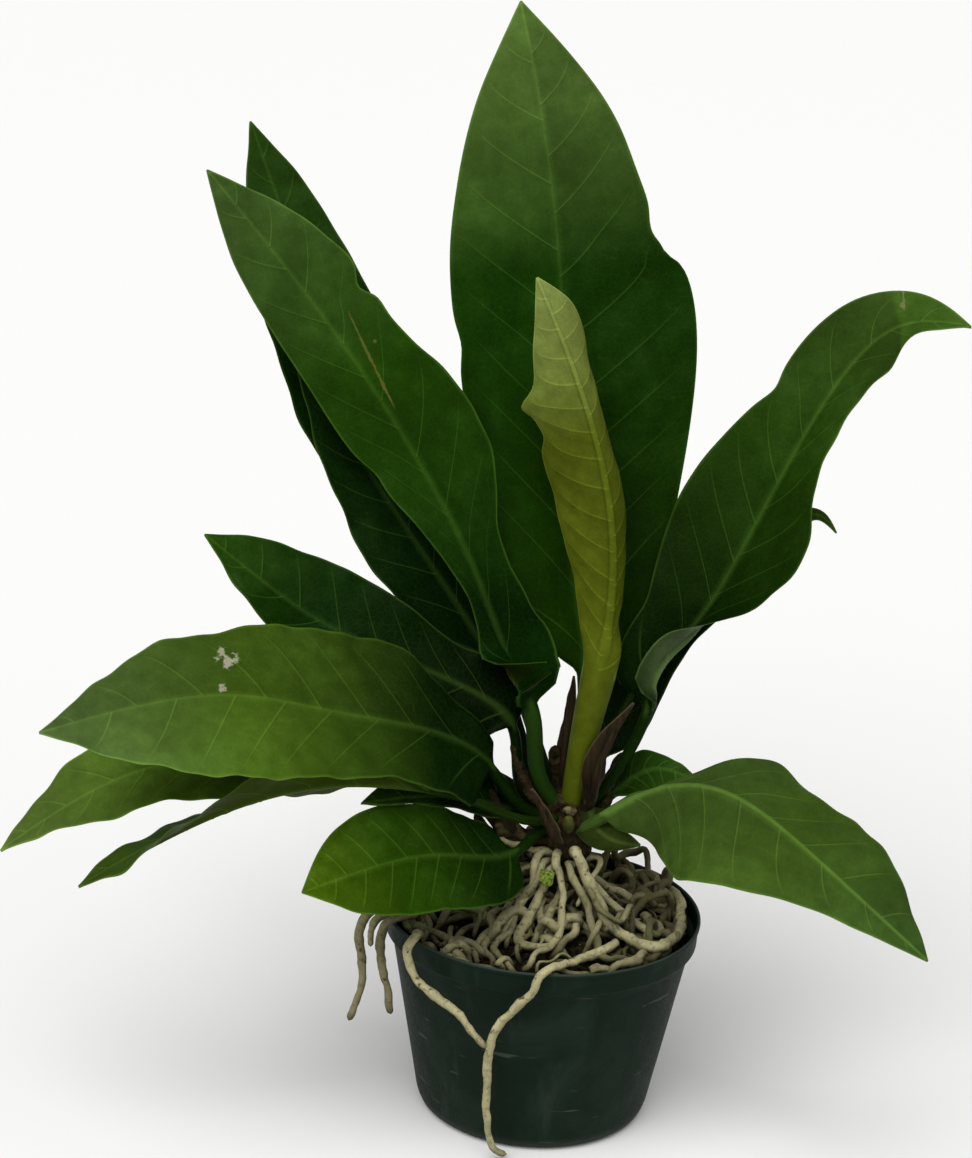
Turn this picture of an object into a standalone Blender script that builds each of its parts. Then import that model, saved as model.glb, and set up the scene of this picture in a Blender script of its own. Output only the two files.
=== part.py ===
"""Potted anthurium: a bird's-nest rosette of fifteen leaves on a short stem, with pale
aerial roots, in a six-inch nursery pot.

Metres, +Z up. The origin is the centre of the pot's underside, on the floor. The front
of the plant faces -Y. The tables below are in millimetres and degrees.
"""

import math

import bmesh
import bpy
import numpy as np
from mathutils import Matrix

MM = 0.001

# Pot
RIM_RADIUS = 80.0
POT_HEIGHT = 107.0
COLLAR_HEIGHT = 12.5
COLLAR_STEP = 4.0
BASE_RADIUS = 58.0
WALL = 1.6
FLOOR = 2.0
DRAIN_HOLES = 6
DRAIN_RADIUS = 4.5
DRAIN_CIRCLE = 42.0
POT_STEPS = 48

# Potting mix
MIX_EDGE = 99.0
MIX_MOUND = 6.0
MIX_MOUND_RADIUS = 28.0

# Crown
STEM_X = 9.0
STEM_RADIUS = 14.0
STEM_BOTTOM = 148.0
STEM_TOP = 171.0

STALK_RADIUS = 3.2
GAP = 0.3

# Each leaf: spine from the crown to the tip, share of the length that is stalk,
# directions that the upper side faces along the spine, half widths of the blade to its
# left and right at seven even stations, fold of each half at base, middle and tip,
# curl of each half, rings along the leaf and points across it.
LEAVES = {
    "leaf_tall": dict(
        spine=[
            (10, 8, 162), (15, 16, 195), (12, 24, 235), (3, 36, 290), (-9, 60, 410), (-25, 80, 500),
            (-37, 90, 547),
        ],
        stalk=0.16,
        face=[(0.1, -1, 0.1), (0, -1, 0.25), (0.1, -1, 0.3)],
        left=(30, 44, 50, 54, 55, 47, 30),
        right=(45, 53, 60, 66, 62, 47, 30),
        fold=((25, 12), (20, 10), (18, 12)),
        curl=(-15, -5),
        rings=20,
        across=7,
    ),
    "leaf_left_front": dict(
        spine=[
            (5, -5, 163), (-7, -8, 182), (-11, -9, 210), (-20, 0, 228), (-33, 10, 254),
            (-50, 16, 290), (-106, 28, 374), (-184, 48, 462),
        ],
        stalk=0.16,
        face=[(0.3, -1, 0.3), (0.35, -1, 0.45), (0.3, -1, 0.5)],
        left=(12, 11, 19, 26, 26, 24, 17),
        right=(26, 19, 34, 38, 29, 29, 19),
        fold=((20, 45), (-8, 36), (-5, 30)),
        curl=(-15, 5),
        rings=20,
        across=7,
    ),
    "leaf_left_back": dict(
        spine=[
            (3, 10, 163), (-5, 18, 180), (-20, 30, 215), (-55, 45, 275), (-110, 60, 360),
            (-145, 72, 430), (-167, 82, 482),
        ],
        stalk=0.25,
        face=[(0.4, -1, 0.3), (0.4, -1, 0.4)],
        left=(17, 30, 36, 37, 32, 26, 16),
        right=(15, 27, 32, 31, 27, 23, 15),
        fold=((10, 10), (10, 10), (10, 10)),
        curl=(0, 0),
        rings=16,
        across=5,
    ),
    "leaf_left_shade": dict(
        spine=[
            (2, 1, 163), (-11, 7, 180), (-23, 18, 210), (-63, 32, 270), (-105, 35, 329),
            (-143, 45, 393),
        ],
        stalk=0.24,
        face=[(0.5, -1, 0.4), (0.5, -1, 0.5)],
        left=(14, 24, 28, 27, 22, 16, 9),
        right=(14, 22, 26, 27, 26, 21, 13),
        fold=((0, 10), (0, 10)),
        curl=(0, 0),
        rings=15,
        across=5,
    ),
    "leaf_left_middle": dict(
        spine=[
            (-1, -1, 161), (-15, -4, 173), (-21, -4, 204), (-45, -2, 222), (-80, 3, 234),
            (-120, 10, 249), (-178, 22, 286),
        ],
        stalk=0.22,
        face=[(0.4, -1, 0.6), (0.3, -0.9, 0.7), (0.2, -0.8, 0.7)],
        left=(32, 30, 30, 28, 24, 17, 9),
        right=(20, 19, 25, 29, 29, 25, 17),
        fold=((-25, 0), (0, 20), (5, 5)),
        curl=(0, 0),
        rings=16,
        across=5,
    ),
    "leaf_left_wide": dict(
        spine=[
            (0, -6, 157), (-14, -12, 165), (-27, -18, 182), (-50, -30, 205), (-105, -54, 224),
            (-160, -76, 237), (-238, -100, 223),
        ],
        stalk=0.165,
        face=[(0.2, -0.6, 0.8), (0, -0.6, 0.8), (-0.2, -0.5, 0.8)],
        left=(30, 33, 38, 45, 50, 45, 28),
        right=(22, 42, 43, 42, 35, 31, 17),
        fold=((10, 12), (8, 12), (8, 12)),
        curl=(-5, -8),
        rings=20,
        across=7,
    ),
    "leaf_left_under": dict(
        spine=[
            (3, 7, 155), (-8, 12, 159), (-25, 9, 171), (-65, -6, 186), (-125, -28, 190),
            (-195, -46, 187), (-262, -66, 149),
        ],
        stalk=0.24,
        face=[(0, -0.5, 0.8), (0, -0.5, 0.8), (-0.4, -0.4, 0.7)],
        left=(13, 18, 24, 26, 24, 23, 12),
        right=(20, 26, 25, 23, 24, 23, 15),
        fold=((5, 8), (5, 8), (5, 8)),
        curl=(0, 0),
        rings=16,
        across=5,
    ),
    "leaf_left_twisted": dict(
        spine=[
            (5, -8, 159), (-6, -20, 161), (-22, -31, 168), (-42, -43, 180), (-90, -62, 193),
            (-150, -88, 187), (-217, -114, 154),
        ],
        stalk=0.32,
        face=[(0, 0.1, 1), (0, 0.65, 0.75), (0, 0.6, 0.75), (0.1, -0.3, 0.9)],
        left=(12, 18, 20, 20, 18, 15, 9),
        right=(12, 18, 20, 20, 18, 15, 9),
        fold=((10, 10), (10, 10), (10, 10)),
        curl=(0, 0),
        rings=16,
        across=5,
    ),
    "leaf_front_small": dict(
        spine=[
            (5, -6, 153), (-6, -17, 153), (-18, -33, 148), (-53, -58, 156), (-85, -74, 154),
            (-116, -88, 146),
        ],
        stalk=0.22,
        face=[(0.1, -0.5, 0.8), (0, -0.7, 0.7), (-0.1, -0.7, 0.7)],
        left=(24, 28, 27, 26, 24, 19, 11),
        right=(17, 21, 24, 27, 28, 25, 16),
        fold=((5, 10), (5, 10), (5, 10)),
        curl=(0, 0),
        rings=16,
        across=5,
    ),
    "leaf_front_shade": dict(
        spine=[(0, -1, 154), (-14, -4, 159), (-27, -16, 166), (-52, -35, 177.5), (-91, -63, 182.5)],
        stalk=0.32,
        face=[(0.1, -0.4, 0.9), (0, -0.2, 1)],
        left=(5, 7, 8, 8, 8, 7, 5),
        right=(9, 13, 15, 14, 12, 9, 6),
        fold=((5, 5), (5, 5), (5, 5)),
        curl=(0, 0),
        rings=13,
        across=5,
    ),
    "leaf_right_wavy": dict(
        spine=[
            (16, -2, 157), (35, 0, 187), (46, 4, 215), (48, 4, 229), (54, 6, 242), (68, 12, 258),
            (112, 32, 346), (154, 42, 404), (188, 24, 411),
        ],
        stalk=0.195,
        face=[(-0.3, -1, 0.2), (-0.4, -1, 0.4), (-0.35, -1, 0.5), (-0.1, -1, 0.9)],
        left=(24, 30, 38, 36, 27, 26, 18),
        right=(15, 32, 43, 27, 17, 25, 27),
        fold=((25, 40), (12, 30), (10, 35)),
        curl=(0, 0),
        rings=20,
        across=7,
    ),
    "leaf_right_shade": dict(
        spine=[(14, 6, 160), (33, 26, 200), (60, 46, 245), (95, 60, 280), (135, 68, 302)],
        stalk=0.12,
        face=[(-0.3, -1, 0.4), (-0.3, -1, 0.5)],
        left=(16, 16, 16, 16, 15, 13, 9),
        right=(15, 14, 13, 14, 15, 16, 11),
        fold=((5, 5), (5, 5), (5, 5)),
        curl=(0, 0),
        rings=14,
        across=5,
    ),
    "leaf_right_front": dict(
        spine=[
            (15, -9, 153), (26, -18, 164), (43, -29, 181), (62, -43, 193), (80, -56, 196),
            (98, -68, 191), (125, -88, 176), (176, -110, 139),
        ],
        stalk=0.1,
        face=[(0.1, -0.5, 0.8), (0.2, -0.6, 0.8), (0.4, -0.7, 0.5)],
        left=(5, 10, 18, 32, 36, 30, 18),
        right=(34, 46, 50, 44, 33, 22, 12),
        fold=((-15, -25), (-14, -15), (-10, -10)),
        curl=(0, -5),
        rings=20,
        across=7,
    ),
    "leaf_right_low": dict(
        spine=[(15, 1, 153), (34, 6, 170), (52, 6, 182), (75, -2, 178)],
        stalk=0.3,
        face=[(-0.1, -0.6, 0.8), (-0.1, -0.6, 0.8)],
        left=(5, 8, 12, 10, 7, 5, 3),
        right=(6, 10, 12, 13, 12, 8, 4),
        fold=((5, 5), (5, 5), (5, 5)),
        curl=(0, 0),
        rings=12,
        across=5,
    ),
    "leaf_new": dict(
        spine=[
            (10, -6, 164), (15, -9, 206), (20, -8, 238), (23, -7, 272), (20, -5, 315), (3, 0, 372),
            (-22, 8, 426),
        ],
        stalk=0.26,
        face=[(0.3, 1, 0.1), (0.2, 1, 0.1), (0.1, 1, 0.1)],
        left=(11, 14, 16, 16, 15, 16, 17),
        right=(14, 21, 27, 31, 33, 26, 14),
        fold=((45, 10), (45, 10), (25, 10)),
        curl=(50, 25),
        rings=18,
        across=7,
        girth=4.5,
    ),
    "sheath_right": dict(
        spine=[(18, -9, 165), (20.5, -17, 178), (23, -20, 196), (37, -18, 225)],
        stalk=0.1,
        face=[(-0.2, 1, 0.2), (-0.4, 1, 0.3)],
        left=(6, 8, 8, 7, 6, 4, 2),
        right=(6, 8, 8, 7, 6, 4, 2),
        fold=((30, 30), (30, 30), (25, 25)),
        curl=(20, 20),
        rings=10,
        across=5,
    ),
    "sheath_left": dict(
        spine=[(6, 1, 160), (6, 2, 185), (7, 2, 210), (8, 2, 230)],
        stalk=0.1,
        face=[(0.3, 1, 0), (0.3, 1, 0)],
        left=(3, 3.5, 3.5, 3, 2.5, 2, 1.5),
        right=(3, 3.5, 3.5, 3, 2.5, 2, 1.5),
        fold=((20, 20), (20, 20), (20, 20)),
        curl=(20, 20),
        rings=8,
        across=5,
    ),
    "sheath_low": dict(
        spine=[(6, -18, 150), (3, -25, 155), (-2, -27, 165), (-10, -27, 181)],
        stalk=0.1,
        face=[(0.2, 1, 0.3), (0.2, 1, 0.3)],
        left=(3, 4, 4, 3.5, 3, 2, 1.5),
        right=(3, 4, 4, 3.5, 3, 2, 1.5),
        fold=((20, 20), (20, 20), (20, 20)),
        curl=(20, 20),
        rings=8,
        across=5,
    ),
}

# Aerial roots: radius, then the line of the middle from the crown outward.
ROOTS = [
    (3.5, [
        (4, -4, 138), (-4, -15, 143), (-6, -20, 137), (-7, -22, 129), (-14, -28, 118),
        (-19, -33, 108), (-20, -36, 100),
    ]),
    (3.0, [
        (3, -6, 134), (-1, -17, 138), (-5, -23, 129), (-11, -27, 120), (-15, -33, 111),
        (-17, -42, 102),
    ]),
    (3.5, [
        (7, -8, 130), (3, -18, 134), (0, -24, 126), (-6, -29, 117), (-11, -36, 110),
        (-11, -43, 106), (-4, -46, 105), (7, -44, 106),
    ]),
    (3.0, [(9, -8, 124), (6, -21, 124), (2, -28, 117), (-3, -37, 109), (-6, -43, 102)]),
    (3.2, [
        (8, -5, 138), (3, -18, 145), (5, -22, 138), (9, -27, 128), (9, -33, 118), (6, -42, 110),
        (-1, -55, 105), (-10, -68, 102),
    ]),
    (4.3, [
        (12, -4, 136), (15, -17, 145), (19, -21, 138), (25, -26, 125), (30, -30, 113),
        (38, -32, 108), (47, -38, 106), (54, -42, 106), (61, -36, 106), (67, -20, 106),
        (70, -2, 107), (69, 10, 104),
    ]),
    (2.8, [
        (13, -6, 132), (12, -20, 138), (17, -26, 129), (23, -32, 117), (25, -42, 107),
        (22, -50, 101),
    ]),
    (2.0, [(14, -2, 134), (27, -9, 137), (25, -15, 131), (20, -23, 125), (16, -27, 119)]),
    (2.8, [
        (4, -4, 126), (-18, -12, 113), (-34, -16, 107), (-46, -18, 104), (-54, -24, 103),
        (-53, -34, 103), (-50, -43, 103), (-46, -36, 105), (-44, -28, 105),
    ]),
    (2.6, [
        (4, -5, 122), (-16, -17, 112), (-32, -24, 106), (-42, -34, 104), (-40, -51, 101),
        (-38, -56, 99),
    ]),
    (2.8, [(5, -6, 120), (-12, -24, 112), (-26, -34, 106), (-33, -44, 104), (-32, -59, 101)]),
    (2.4, [
        (6, -8, 118), (-10, -30, 109), (-22, -42, 105), (-25, -51, 104), (-19, -63, 103),
        (-12, -71, 101),
    ]),
    (3.0, [(14, -3, 130), (30, -9, 118), (44, -16, 108), (55, -22, 105), (58, -10, 104), (54, 0, 100)]),
    (2.8, [(14, 3, 128), (30, 12, 116), (46, 16, 106), (60, 12, 104), (62, 22, 102), (56, 30, 99)]),
    (3.0, [(10, 4, 130), (16, 24, 116), (26, 42, 106), (40, 54, 103), (52, 46, 101)]),
    (2.8, [(6, 4, 130), (-8, 20, 116), (-26, 36, 106), (-44, 42, 103), (-56, 30, 101)]),
    (2.6, [(8, 4, 126), (0, 26, 112), (-8, 48, 104), (2, 62, 102), (14, 64, 99)]),
    (2.8, [(5, 0, 128), (-16, 6, 112), (-34, 14, 105), (-48, 16, 103), (-60, 8, 100)]),
]

# Two roots go over the front of the rim, meet, and one of them runs down to the floor.
FRONT_ROOTS = [
    (2.8, [
        (36, -39, 107), (30, -46, 106), (22, -55, 106), (14, -64, 107), (7, -73, 109),
        (3, -79, 110.6), (-2, -83.8, 107.5), (-5, -85, 100), (-9, -85, 95), (-15, -84, 88),
        (-21, -82, 78), (-24, -79, 64), (-24, -76, 46), (-23, -73, 27), (-21, -71, 14),
        (-17, -69, 6), (-12, -67, 3),
    ]),
    (2.8, [
        (-60, -33, 102), (-62, -42, 107), (-62, -50.5, 110.6), (-65.5, -55, 106), (-65, -58, 99),
        (-60, -63, 92), (-50, -70, 87), (-40, -75, 82), (-32, -78, 74), (-25, -79.5, 66),
    ]),
]

# Three roots go over the left side of the rim and hang free.
LEFT_ROOTS = [
    (2.6, [
        (-50, 0, 102), (-62, -9, 106), (-71, -14, 110.4), (-79, -17, 110.6), (-87, -18, 106),
        (-91, -20, 97), (-90, -20, 86), (-89, -20, 68), (-92, -20, 55), (-95, -20, 47),
    ]),
    (2.2, [
        (-58, -6, 105), (-66, -17, 108.5), (-75, -25, 110.2), (-81, -27, 108.5), (-85, -27.5, 101),
        (-85, -27, 92),
    ]),
    (2.6, [
        (-56, -5, 104), (-62, -19, 107), (-70, -30, 110.5), (-77, -34, 108.5), (-80, -34, 101),
        (-79, -34, 86), (-76, -34, 75), (-73, -34, 59),
    ]),
]

CHIPS = 14
CHIP_SIZE = 7.0


def new_collection(name, hidden=False):
    made = bpy.data.collections.new(name)
    made.hide_render = hidden
    bpy.context.scene.collection.children.link(made)
    return made


def material(name, colour, roughness, metallic=0.0):
    made = bpy.data.materials.new(name)
    made.use_nodes = True
    shader = made.node_tree.nodes["Principled BSDF"]
    shader.inputs["Base Color"].default_value = (*colour, 1.0)
    shader.inputs["Roughness"].default_value = roughness
    shader.inputs["Metallic"].default_value = metallic
    return made


def mesh_object(name, points, faces, collection, look=None):
    """An object from points in millimetres."""
    mesh = bpy.data.meshes.new(name)
    mesh.from_pydata([tuple(MM * float(c) for c in p) for p in points], [], faces)
    mesh.update()
    made = bpy.data.objects.new(name, mesh)
    collection.objects.link(made)
    finish(made, look)
    return made


def cut(piece, cutter, name):
    """Takes a closed mesh, or every mesh of a collection, out of the piece."""
    step = piece.modifiers.new(name, "BOOLEAN")
    step.operation = "DIFFERENCE"
    step.solver = "EXACT"
    if isinstance(cutter, bpy.types.Collection):
        step.operand_type = "COLLECTION"
        step.collection = cutter
    else:
        step.object = cutter


def join(piece, others, name):
    step = piece.modifiers.new(name, "BOOLEAN")
    step.operation = "UNION"
    step.solver = "EXACT"
    step.operand_type = "COLLECTION"
    step.collection = others


def smooth_curve(knots, values, at):
    """Natural cubic through the values at the knots, read at the given places."""
    knots = np.asarray(knots, float)
    values = np.asarray(values, float)
    step = np.diff(knots)
    count = len(knots)
    system = np.eye(count)
    right = np.zeros_like(values)
    for i in range(1, count - 1):
        system[i, i - 1 : i + 2] = step[i - 1], 2 * (step[i - 1] + step[i]), step[i]
        rise = (values[i + 1] - values[i]) / step[i]
        before = (values[i] - values[i - 1]) / step[i - 1]
        right[i] = 6 * (rise - before)
    bend = np.linalg.solve(system, right)
    at = np.asarray(at, float)
    i = np.clip(np.searchsorted(knots, at) - 1, 0, count - 2)
    a = (knots[i + 1] - at) / step[i]
    b = (at - knots[i]) / step[i]
    c = (a**3 - a) * step[i] ** 2 / 6
    d = (b**3 - b) * step[i] ** 2 / 6
    if values.ndim > 1:
        a, b, c, d = (k[:, None] for k in (a, b, c, d))
    return a * values[i] + b * values[i + 1] + c * bend[i] + d * bend[i + 1]


def even_path(points, count):
    """Evenly spaced points on the smooth line through the given ones."""
    points = np.asarray(points, float)
    reach = np.linalg.norm(np.diff(points, axis=0), axis=1)
    knots = np.concatenate([[0], np.cumsum(np.sqrt(reach))])
    fine = smooth_curve(knots, points, np.linspace(0, knots[-1], 800))
    run = np.concatenate([[0], np.cumsum(np.linalg.norm(np.diff(fine, axis=0), axis=1))])
    at = np.linspace(0, run[-1], count)
    return np.stack([np.interp(at, run, fine[:, k]) for k in range(3)], 1)


def unit(vectors):
    return vectors / np.linalg.norm(vectors, axis=-1, keepdims=True)


def spread(values, at):
    """Reads evenly spaced values at places from 0 to 1."""
    return np.interp(at, np.linspace(0, 1, len(values)), values)


def ring_mesh(rings):
    """Closed skin over rings of equal point count."""
    count = len(rings[0])
    points = [p for ring in rings for p in ring]
    faces = []
    for j in range(len(rings) - 1):
        for i in range(count):
            k = (i + 1) % count
            a, b = j * count, (j + 1) * count
            faces.append((a + i, a + k, b + k, b + i))
    faces.append(tuple(reversed(range(count))))
    faces.append(tuple(range((len(rings) - 1) * count, len(rings) * count)))
    return points, faces


def leaf_rings(leaf):
    """Rings across one leaf, from its round stalk to the tip of its thin blade."""
    count = leaf["rings"] * 8 + 1
    middle = even_path(leaf["spine"], count)
    along = np.linspace(0, 1, count)
    ahead = unit(np.gradient(middle, axis=0))
    face = unit(np.asarray(leaf["face"], float))
    places = np.linspace(0, 1, len(face))
    if len(face) < 3:
        face = np.stack([np.interp(along, places, face[:, k]) for k in range(3)], 1)
    else:
        face = smooth_curve(places, face, along)
    up = unit(face - np.sum(face * ahead, 1, keepdims=True) * ahead)
    right = np.cross(ahead, up)
    blade = np.clip((along - leaf["stalk"]) / (1 - leaf["stalk"]), 0, 1)
    girth = leaf.get("girth", STALK_RADIUS)
    widths = []
    for half in ("left", "right"):
        stations = np.concatenate([[girth + 0.8], leaf[half], [0.5]])
        wide = smooth_curve(np.linspace(0, 1, 9), stations, blade)
        widths.append(np.where(along < leaf["stalk"], girth, np.maximum(wide, 0.5)))
    fold = np.radians(np.asarray(leaf["fold"], float))
    share = np.sin(np.radians(np.linspace(-90, 90, leaf["across"])))
    rings = []
    for j in range(0, count, 8):
        flat = np.clip(blade[j] / 0.15, 0, 1)
        flat = flat * flat * (3 - 2 * flat)
        top, under = [], []
        for u in share:
            half = int(u > 0)
            sign = 1 if u > 0 else -1
            tilt = spread(fold[:, half], blade[j]) * min(1.0, blade[j] * 8)
            curl = math.radians(leaf["curl"][half]) * min(1.0, blade[j] * 8)
            steps = (np.arange(12) + 0.5) / 12
            lean = tilt + curl * abs(u) * steps
            width = widths[half][j] * abs(u)
            place = middle[j] + width * (sign * np.cos(lean).mean() * right[j] + np.sin(lean).mean() * up[j])
            lean = tilt + curl * abs(u)
            out = math.cos(lean) * up[j] - sign * math.sin(lean) * right[j]
            if u == 0:
                out = up[j]
            round_rise = girth * math.sqrt(max(0.0, 1 - u * u))
            keel = 1.6 * (1 - blade[j]) * max(0.0, 1 - width / 5)
            rise = (1 - flat) * round_rise + flat * 0.4 + 0.15
            drop = (1 - flat) * round_rise + flat * (0.4 + keel) + 0.15
            top.append(place + rise * out)
            under.append(place - drop * out)
        rings.append(top + under[::-1])
    return rings


def leaf_object(name, leaf, collection, look):
    points, faces = ring_mesh(leaf_rings(leaf))
    faces = [tuple(reversed(f)) for f in faces]
    return mesh_object(name, points, faces, collection, look)


def mix_height(radius):
    """Height of the potting mix at a distance from the pot's axis."""
    return MIX_EDGE + MIX_MOUND * math.exp(-((radius / MIX_MOUND_RADIUS) ** 2))


def wall_radius(height):
    """Outside of the pot wall under the collar."""
    shelf = POT_HEIGHT - COLLAR_HEIGHT
    return BASE_RADIUS + (RIM_RADIUS - COLLAR_STEP - BASE_RADIUS) * height / shelf


def turned(name, profile, collection, look=None, steps=POT_STEPS, centre=0.0):
    """A body of revolution from a profile of radius and height, from the top down its outer side."""
    mesh = bpy.data.meshes.new(name)
    points = [(MM * radius, 0.0, MM * height) for radius, height in profile]
    mesh.from_pydata(points, [(i, i + 1) for i in range(len(points) - 1)], [])
    made = bpy.data.objects.new(name, mesh)
    made.location.x = MM * centre
    collection.objects.link(made)
    turn = made.modifiers.new("turn", "SCREW")
    turn.axis = "Z"
    turn.steps = steps
    turn.render_steps = steps
    turn.use_merge_vertices = True
    turn.merge_threshold = 0.00005
    finish(made, look)
    return made


def finish(made, look):
    """Gives a part its material, or marks a cutter."""
    if look is None:
        made.display_type = "WIRE"
        made.hide_render = True
    else:
        made.data.materials.clear()
        made.data.materials.append(look)


def primitive(name, shapes, collection, look=None):
    """An object of one or more primitives: the bmesh maker, its settings and its matrix."""
    edit = bmesh.new()
    for maker, settings, place in shapes:
        maker(edit, matrix=Matrix.Scale(MM, 4) @ place, **settings)
    mesh = bpy.data.meshes.new(name)
    edit.to_mesh(mesh)
    edit.free()
    made = bpy.data.objects.new(name, mesh)
    collection.objects.link(made)
    finish(made, look)
    return made


def build_pot(collection, cutters, look):
    top = POT_HEIGHT
    shelf = POT_HEIGHT - COLLAR_HEIGHT
    inner_rim = RIM_RADIUS - WALL
    profile = [
        (0, FLOOR),
        (BASE_RADIUS - 5, FLOOR),
        (wall_radius(5) - WALL - 1.5, FLOOR + 1.5),
        (wall_radius(10) - WALL, 10),
        (wall_radius(shelf) - WALL, shelf + WALL),
        (inner_rim - 0.6, shelf + WALL + 1.5),
        (inner_rim, top - 0.6),
        (inner_rim + 0.5, top),
        (RIM_RADIUS - 0.5, top),
        (RIM_RADIUS, top - 0.6),
        (RIM_RADIUS - 0.6, shelf + 0.5),
        (RIM_RADIUS - 1.4, shelf),
        (wall_radius(shelf) + 0.6, shelf - 0.2),
        (wall_radius(shelf - 1.5), shelf - 1.5),
        (wall_radius(8), 8),
        (wall_radius(3) - 1.2, 2.6),
        (BASE_RADIUS - 4, 0.5),
        (BASE_RADIUS - 6, 0),
        (0, 0),
    ]
    pot = turned("nursery_pot", profile, collection, look)
    drill = dict(cap_ends=True, segments=12, radius1=DRAIN_RADIUS, radius2=DRAIN_RADIUS, depth=12)
    drills = []
    for k in range(DRAIN_HOLES):
        turn = 2 * math.pi * (k + 0.5) / DRAIN_HOLES
        place = Matrix.Rotation(turn, 4, "Z") @ Matrix.Translation((DRAIN_CIRCLE, 0, 0))
        drills.append((bmesh.ops.create_cone, drill, place))
    cut(pot, primitive("cut_drains", drills, cutters), "drains")


def build_mix(collection, cutters, look):
    """The mix fills the pot; its raised copy is what the roots are cut by."""
    shelf = POT_HEIGHT - COLLAR_HEIGHT
    clear = WALL + GAP + 0.4
    reach = wall_radius(shelf) - clear
    for name, home, finish_with, lift in (
        ("potting_mix", collection, look, 0.0),
        ("clear_mix", cutters, None, GAP),
    ):
        top = [(r, mix_height(r) + lift) for r in (0, 8, 16, 24, 32, 42, 54, 66, reach)]
        side = [
            (wall_radius(shelf - 6) - clear, shelf - 6),
            (wall_radius(10) - clear, 10.5),
            (BASE_RADIUS - 6.5, FLOOR + GAP + 0.2),
            (0, FLOOR + GAP + 0.2),
        ]
        made = turned(name, top + side, home, finish_with, steps=36)
    return made


def build_stem(collection, cutters, look):
    """A short stem with the rings that old leaves leave."""
    rise = STEM_TOP - STEM_BOTTOM
    for name, home, finish_with, grow in (
        ("stem", collection, look, 0.0),
        ("clear_stem", cutters, None, GAP),
    ):
        profile = [(0, STEM_TOP + grow)]
        for k in range(11):
            share = k / 10
            swell = 0.5 + 0.5 * math.sin(math.pi * min(1.0, 0.15 + 2 * share) / 2)
            ring = 0.6 * math.cos(13 * share)
            z = STEM_TOP - 0.4 - (rise - 0.4) * share + grow * (1 - 2 * share)
            profile.append((STEM_RADIUS * swell + ring + grow, z))
        profile.append((0, STEM_BOTTOM - grow))
        made = turned(name, profile, home, finish_with, steps=20, centre=STEM_X)
    return made


def root_mesh(name, radius, line, collection, look=None):
    """A tapering root: a bevelled curve turned into a mesh."""
    length = np.sum(np.linalg.norm(np.diff(np.asarray(line, float), axis=0), axis=1))
    count = max(6, int(length / 7.0))
    places = even_path(line, count)
    data = bpy.data.curves.new(name, "CURVE")
    data.dimensions = "3D"
    data.bevel_depth = MM * radius
    data.bevel_resolution = 1
    data.use_fill_caps = True
    strand = data.splines.new("POLY")
    strand.points.add(count - 1)
    for k, place in enumerate(places):
        share = k / (count - 1)
        strand.points[k].co = (*(MM * place), 1.0)
        strand.points[k].radius = 1.0 - 0.25 * share + 0.06 * math.sin(9 * share + radius)
    curve = bpy.data.objects.new(name + "_curve", data)
    collection.objects.link(curve)
    bpy.context.view_layer.update()
    mesh = bpy.data.meshes.new_from_object(curve)
    bpy.data.objects.remove(curve)
    made = bpy.data.objects.new(name, mesh)
    collection.objects.link(made)
    weld(mesh)
    finish(made, look)
    return made


def weld(mesh):
    edit = bmesh.new()
    edit.from_mesh(mesh)
    bmesh.ops.remove_doubles(edit, verts=edit.verts, dist=1e-6)
    bmesh.ops.recalc_face_normals(edit, faces=edit.faces)
    edit.to_mesh(mesh)
    edit.free()


def root_group(name, roots, collection, look):
    """Roots that cross or meet, grown together into one piece."""
    helpers = new_collection("strands_of_" + name, hidden=True)
    first = root_mesh(name, *roots[0], collection, look)
    for k, (radius, line) in enumerate(roots[1:]):
        root_mesh(f"{name}_strand_{k}", radius, line, helpers)
    join(first, helpers, "grown_together")
    return first


def build_root_base(name, collection, grow=0.0):
    """The foot of the stem under the leaves, from which every root starts."""
    low, high = MIX_EDGE - 2, STEM_BOTTOM - GAP + grow
    cone = dict(cap_ends=True, segments=14, radius1=14 + grow, radius2=10.5 + grow, depth=high - low)
    place = Matrix.Translation((STEM_X, 0, (low + high) / 2))
    return primitive(name, [(bmesh.ops.create_cone, cone, place)], collection)


def build_chips(collection, look):
    """Loose bark chips on the mix, where no root lies."""
    tracks = np.concatenate([even_path(line, 40) for _, line in ROOTS + FRONT_ROOTS + LEFT_ROOTS])
    placed = []
    for k in range(400):
        if len(placed) == CHIPS:
            break
        radius = 20 + 46 * ((k * 0.618) % 1)
        turn = 2.4 * k
        x, y = radius * math.cos(turn), radius * math.sin(turn)
        size = CHIP_SIZE * (0.55 + 0.45 * ((k * 0.37) % 1))
        if np.min(np.hypot(tracks[:, 0] - x, tracks[:, 1] - y)) < size * 0.6 + 3.6:
            continue
        if any(math.hypot(x - px, y - py) < 0.6 * (size + ps) + 0.6 for px, py, ps in placed):
            continue
        placed.append((x, y, size))
        depth = 2.2 + (k % 3) * 0.5
        chip = dict(cap_ends=True, segments=5 + k % 3, radius1=size * 0.6, radius2=size * 0.45, depth=depth)
        place = Matrix.Translation((x, y, mix_height(radius) + 0.7 + depth / 2))
        place = place @ Matrix.Rotation(1.3 * k, 4, "Z") @ Matrix.Diagonal((1, 0.7, 1, 1))
        primitive(f"bark_chip_{len(placed):02d}", [(bmesh.ops.create_cone, chip, place)], collection, look)


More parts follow.
